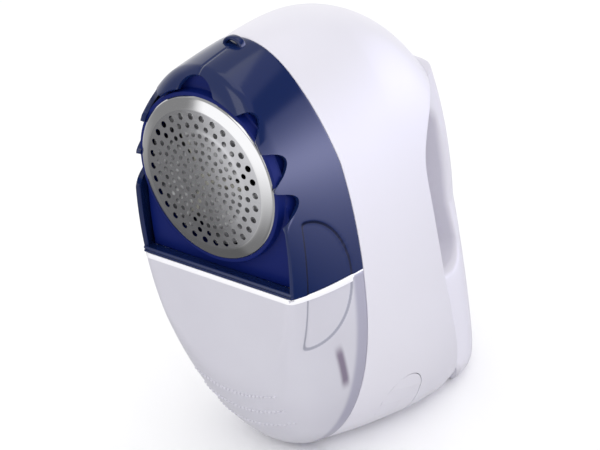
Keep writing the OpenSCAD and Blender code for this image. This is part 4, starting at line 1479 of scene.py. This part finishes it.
@dataclass
class SteelFoil:
    """The perforated foil: a shallow dome with two rings of large holes and a disc of small ones."""

    kit: Shaver
    radius: float = 30.0
    rise: float = 1.2
    thick: float = 0.12
    big_hole: float = 2.4
    small_hole: float = 1.75
    step_r: tuple[float, float] = (18.0, 18.8)
    bevel_r: float = 25.6
    rolled_r: float = 29.3

    def height(self, r: Grid) -> Grid:
        """Height of the foil in front of its rim's plane.

        The face falls as 0.95 (r/25)^2, with a pressed step of 0.04 mm. Past bevel_r it falls as
        0.26 d^2 / (d + 0.6), with d the distance past it, and past rolled_r it is rolled over.

        Args:
            r: Radii.

        Returns:
            The heights.
        """
        face = self.rise - 0.05 - 0.95 * (r / 25.0) ** 2 - 0.04 * ramp(r, *self.step_r)
        past = np.maximum(r - self.bevel_r, 0.0)
        rolled = np.clip((r - self.rolled_r) / (self.radius - self.rolled_r), 0.0, 1.0)
        return face - 0.26 * past ** 2 / (past + 0.6) - 0.5 * rolled ** 2

    def holes(self) -> list[tuple[float, float, float]]:
        """Places of the holes.

        Returns:
            Centre (x, z) and radius of every hole, ring by ring from the outside and then from the middle.
        """
        rings = [(23.3, 30, self.big_hole, 0.0), (20.1, 30, self.big_hole - 0.4, 6.0)]
        rings += [(2.4 + k * 2.9, 5 + k * 6, self.small_hole, k * 11.0) for k in range(6)]
        return [(r * math.cos(a), r * math.sin(a), d / 2) for r, n, d, start in rings
                for a in (math.radians(start) + 2 * math.pi * i / n for i in range(n))]

    def build(self) -> None:
        """Builds the foil: rings of points and hole outlines joined by a constrained triangulation."""
        holes = self.holes()
        spots, edges = [], []

        def add_loop(cx: float, cy: float, r: float, n: int) -> None:
            """Adds a closed ring of points and the edges that join them.

            Args:
                cx: Middle's x.
                cy: Middle's height over the head's axis.
                r: Radius.
                n: Number of points.
            """
            turn = np.linspace(0, 2 * np.pi, n, endpoint=False)
            start = len(spots)
            spots.extend(np.column_stack([cx + r * np.cos(turn), cy + r * np.sin(turn)]).tolist())
            edges.extend([(start + k, start + (k + 1) % n) for k in range(n)])

        for r in (self.bevel_r, 25.9, 26.3, 26.8, 27.4, 28.0, 28.7, self.rolled_r, 29.5, 29.7, 29.88,
                  self.radius):
            add_loop(0.0, 0.0, r, 160)
        for cx, cy, r in holes:
            add_loop(cx, cy, r, 18)
        low, high = self.step_r
        rings = ((25.2, 110), (21.7, 90), (high, 110), ((low + high) / 2, 110), (low, 110))
        turn = [(r, k * 2 * math.pi / n) for r, n in rings for k in range(n)]
        free = np.array([(r * math.cos(a), r * math.sin(a)) for r, a in turn])
        middle = np.array([(x, y) for x, y, _ in holes])
        size = np.array([r for _, _, r in holes])
        gap = np.linalg.norm(free[:, None] - middle[None], axis=-1) - size
        spots.extend(free[gap.min(axis=1) > 0.25].tolist())
        made = delaunay_2d_cdt([Vector(s) for s in spots], edges, [], 0, 1e-5)
        flat = np.array([(v.x, v.y) for v in made[0]])
        faces = np.array([f for f in made[2] if len(f) == 3])
        centre = flat[faces].mean(axis=1)
        inside = np.linalg.norm(centre[:, None] - middle[None], axis=-1) < size * 0.985
        faces = faces[~inside.any(axis=1)]
        r = np.hypot(flat[:, 0], flat[:, 1])
        points = np.column_stack([flat[:, 0], -self.height(r), self.kit.form.head_z + flat[:, 1]])
        face_r = np.hypot(*flat[faces].mean(axis=1).T)
        piece = self.kit.add("foil_screen", points, faces, self.kit.finishes.foil, self.kit.finishes.rim,
                             facing=Facing.FRONT, body="foil_head", slot="foil_steel", sharp=60.0,
                             face_finish=(face_r > self.bevel_r).astype(np.int32))
        finish_with(piece, "SOLIDIFY", thickness=self.thick * MM, offset=-1.0)
        apply_modifiers(piece)
        smooth(piece.data, 35.0)
        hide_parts("foil")


@dataclass
class CutterBlades:
    """The rotor's three broad blades, with swept edges, close behind the foil."""

    kit: Shaver
    count: int = 3
    start: float = 8.0
    span: float = 98.0
    sweep: float = 26.0
    inner_r: float = 3.0
    outer_r: float = 24.1
    front_y: float = 0.85
    thick: float = 0.8

    def build(self) -> None:
        """Builds each blade as a sector whose edges turn by sweep (r/R)^2 from the hub outwards."""
        r = np.linspace(self.inner_r, self.outer_r, 14)
        turn = self.sweep * (r / self.outer_r) ** 2
        arc = np.linspace(0.0, self.span, 26)
        radius = np.concatenate([r, np.full(24, self.outer_r), r[::-1], np.full(24, self.inner_r)])
        angle = np.concatenate([turn, self.sweep + arc[1:-1], turn[::-1] + self.span,
                                arc[::-1][1:-1] + turn[0]])
        points, faces = [], []
        n = len(radius)
        for k in range(self.count):
            phi = np.radians(angle + self.start + k * 360.0 / self.count)
            for y in (self.front_y, self.front_y + self.thick):
                points.append(np.column_stack([radius * np.cos(phi), np.full(n, y),
                                               self.kit.form.head_z + radius * np.sin(phi)]))
            first = 2 * n * k
            faces += [list(range(first, first + n)), list(range(first + n, first + 2 * n))[::-1]]
            faces += (grid_faces(2, n, wrap_cols=True) + first).tolist()
        piece = self.kit.add("rotor_blades", np.concatenate(points), faces, self.kit.finishes.blade,
                             body="rotor", slot="foil_steel", sharp=30.0)
        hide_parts("cutter_blades")


@dataclass(frozen=True)
class Lamp:
    """A square lamp that looks at the object.

    Args:
        name: Its name.
        place: Its place in metres.
        size: Length of its side in metres.
        power: Its power in watts.
    """

    name: str
    place: tuple[float, float, float]
    size: float
    power: float

    def build(self, aim: tuple[float, float, float]) -> None:
        """Builds the lamp.

        Args:
            aim: Place in metres that it looks at.
        """
        data = bpy.data.lights.new(self.name, "AREA")
        data.shape, data.size, data.energy = "SQUARE", self.size, self.power
        turn = (Vector(aim) - Vector(self.place)).to_track_quat("-Z", "Y").to_matrix().to_4x4()
        link_object(self.name, data).matrix_world = Matrix.Translation(self.place) @ turn


@dataclass
class Studio:
    """Pale floor, white surroundings, soft lamps, the tent that polished pieces mirror, the camera."""

    layout: Layout
    target_mm: tuple[float, float, float] = (5.46, 40.0, 86.28)  # place that the camera looks at
    azimuth: float = 42.18
    elevation: float = 27.14
    roll: float = -5.46
    distance_mm: float = 700.0
    lens_mm: float = 117.5322
    sensor_mm: float = 36.0
    floor_m: float = 6.0
    tent_m: float = 4.0
    aim: tuple[float, float, float] = (0.0, 0.0, 0.09)  # place that the lamps look at, in metres
    lamps: tuple[Lamp, ...] = (
        Lamp("key_lamp", (0.35, -0.75, 0.95), 0.6, 1.2),
        Lamp("side_lamp", (0.95, -0.35, 0.55), 0.5, 0.35),
        Lamp("top_lamp", (0.1, 0.25, 1.2), 0.7, 1.0))

    def build(self) -> None:
        """Builds the camera, the floor, the surroundings and the lamps."""
        self.build_camera()
        self.build_floor()
        self.build_lights()
        self.build_tent()

    def build_camera(self) -> None:
        """Points the camera at its target from its azimuth and elevation, with its roll."""
        az, el, roll = (math.radians(v) for v in (self.azimuth, self.elevation, self.roll))
        back = Vector((math.sin(az) * math.cos(el), -math.cos(az) * math.cos(el), math.sin(el)))
        right = Vector((0, 0, 1)).cross(back).normalized()
        up = back.cross(right)
        side = right * math.cos(roll) + up * math.sin(roll)
        top = -right * math.sin(roll) + up * math.cos(roll)
        data = bpy.data.cameras.new("camera")
        data.sensor_width, data.lens = self.sensor_mm, self.lens_mm
        data.clip_start, data.clip_end = 0.01, 20.0
        camera = link_object("camera", data)
        turn = Matrix((side, top, back)).transposed().to_4x4()
        place = Vector(self.layout.metres(np.array(self.target_mm))) + back * self.distance_mm * MM
        camera.matrix_world = Matrix.Translation(place) @ turn
        bpy.context.scene.camera = camera

    def build_floor(self) -> None:
        """Builds a wide pale floor of even matt paint."""
        material, tree, where = new_material("studio_floor_matt_paint")
        tone = add_node(tree, "TexNoise", {"Scale": 3.0}, {"Vector": where})
        shade = add_node(tree, "Mix", {6: linear("#fbfbfc"), 7: linear("#ffffff")},
                         {0: tone.outputs["Fac"]}, data_type="RGBA")
        shader = add_node(tree, "BsdfPrincipled", {"Roughness": 0.9},
                          {"Base Color": shade.outputs[2]})
        close_material(tree, shader)
        mesh = bpy.data.meshes.new("floor")
        reach = self.floor_m
        mesh.from_pydata([(-reach, -reach, 0), (reach, -reach, 0), (reach, reach, 0), (-reach, reach, 0)],
                         [], [(0, 1, 2, 3)])
        mesh.materials.append(material)
        floor = link_object("floor", mesh)
        floor.visible_glossy = False

    @staticmethod
    def tent_light(azimuth: Grid, elevation: Grid) -> Grid:
        """Light of the tent's lining, which polished pieces mirror.

        Behind on the right a soft strip is p / (1 + ((e - e0) / w)^2), dark below and under a cloth
        above it. In front an edge at 40 degrees to the left parts a dark cloth from a bright one that
        fades downwards. A soft panel stands behind on the left. Elsewhere it is even.

        Args:
            azimuth: Directions in degrees, from the front to the right.
            elevation: Their elevations in degrees.

        Returns:
            Red, green and blue in each direction.
        """
        strip = 3.8 / (1 + ((elevation - 4.5) / 10.6) ** 2) * ramp(elevation, -44.0, -18.0)
        strip = strip * (1 - ramp(elevation, 24.0, 28.0)) + 0.1 * ramp(elevation, 20.0, 28.0)
        strip = strip + 0.34 * ramp(elevation, 42.0, 46.0)
        right = 1 - ramp(np.abs((azimuth - 128.0 + 180.0) % 360.0 - 180.0), 40.0, 60.0)
        dark = mix(0.15, 0.32, (elevation + 38.0) / 20.0)
        bright = 0.25 + 1.2 * ramp(elevation, -48.0, -4.0)
        front = dark + (bright - dark) * ramp(azimuth, -44.0, -36.0)
        near = (1 - ramp(np.abs(azimuth + 35.0), 50.0, 75.0)) * (1 - ramp(elevation, 12.0, 30.0))
        even = 0.5 + (front - 0.5) * near
        light = even + (strip - even) * right
        left = 1 - ramp(np.abs((azimuth + 125.0 + 180.0) % 360.0 - 180.0), 35.0, 60.0)
        light = light + 0.6 * left * ramp(elevation, -30.0, -5.0) * (1 - ramp(elevation, 25.0, 50.0))
        return light[..., None] * (1.0 + right[..., None] * np.array([-0.04, -0.03, 0.38]))

    def build_tent(self) -> None:
        """Builds the tent: a wide ball, seen only in mirror images, lit by its own lining."""
        az, el = np.meshgrid(np.radians(np.arange(-180.0, 180.0, 3.0)),
                             np.radians(np.arange(-90.0, 90.1, 1.5)))
        ball = np.stack([np.cos(el) * np.sin(az), -np.cos(el) * np.cos(az), np.sin(el)], -1)
        mesh = bpy.data.meshes.new("light_tent")
        mesh.from_pydata((ball.reshape(-1, 3) * self.tent_m).tolist(), [],
                         grid_faces(*az.shape, wrap_cols=True).tolist())
        light = self.tent_light(np.degrees(az), np.degrees(el)).reshape(-1, 3)
        light = np.column_stack([light, np.ones(len(light))]).astype(np.float32)
        mesh.attributes.new("light", "FLOAT_COLOR", "POINT").data.foreach_set("color", light.ravel())
        material, tree, _ = new_material("light_tent_lining")
        colour = add_node(tree, "Attribute", attribute_name="light").outputs["Color"]
        shader = add_node(tree, "Emission", {"Strength": 1.0}, {"Color": colour})
        close_material(tree, shader)
        material.cycles.emission_sampling = "NONE"
        mesh.materials.append(material)
        tent = link_object("light_tent", mesh)
        tent.visible_camera = tent.visible_diffuse = tent.visible_shadow = False
        tent.visible_transmission = tent.visible_volume_scatter = False

    def build_lights(self) -> None:
        """Surrounds the object with white and adds the soft lamps."""
        world = bpy.data.worlds.new("surroundings")
        bpy.context.scene.world = world
        world.use_nodes = True
        backdrop = world.node_tree.nodes["Background"]
        backdrop.inputs["Color"].default_value = linear("#ffffff")
        backdrop.inputs["Strength"].default_value = 1.0
        for lamp in self.lamps:
            lamp.build(self.aim)
        bpy.context.scene.view_settings.view_transform = "Standard"


def dress_nodes(frame: dict, finishes: Finishes) -> None:
    """Gives each shown CAD node its material.

    Args:
        frame: The loaded frame.
        finishes: The materials.
    """
    for name, material in finishes.by_node().items():
        node = frame["nodes"][name]
        for place in node.material_slots:
            place.material = material
        LOG.info("dressed %s with %s", name, material.name)


def main() -> None:
    """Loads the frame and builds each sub-assembly in turn."""
    logging.basicConfig(level=logging.INFO, format="%(name)s: %(message)s")
    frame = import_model()
    layout = Layout.from_frame()
    form = ShellForm()
    bands = (layout.depth_m(form.split_y - 6.5), layout.depth_m(form.split_y - 4.0))
    rib = (layout.depth_m(DISH_Y + 14.2), 47.0 * MM)
    dish_m = layout.depth_m(DISH_Y)
    radii = (DISH_RADII[0] * MM, DISH_RADII[1] * MM)
    line = DishLine((dish_m, DISH_Z * MM), radii, dish_m, DISH_LEAN, 0.6 * MM)
    kit = Shaver(layout, form, Finishes(bands, rib, line))
    Studio(layout).build()
    dress_nodes(frame, kit.finishes)
    for part in (WhiteShell(kit), HandleCover(kit), HeadPlate(kit), Guard(kit), LintBin(kit),
                 SteelFoil(kit), CutterBlades(kit)):
        part.build()
        LOG.info("built %s", type(part).__name__)


if __name__ == "__main__":
    main()
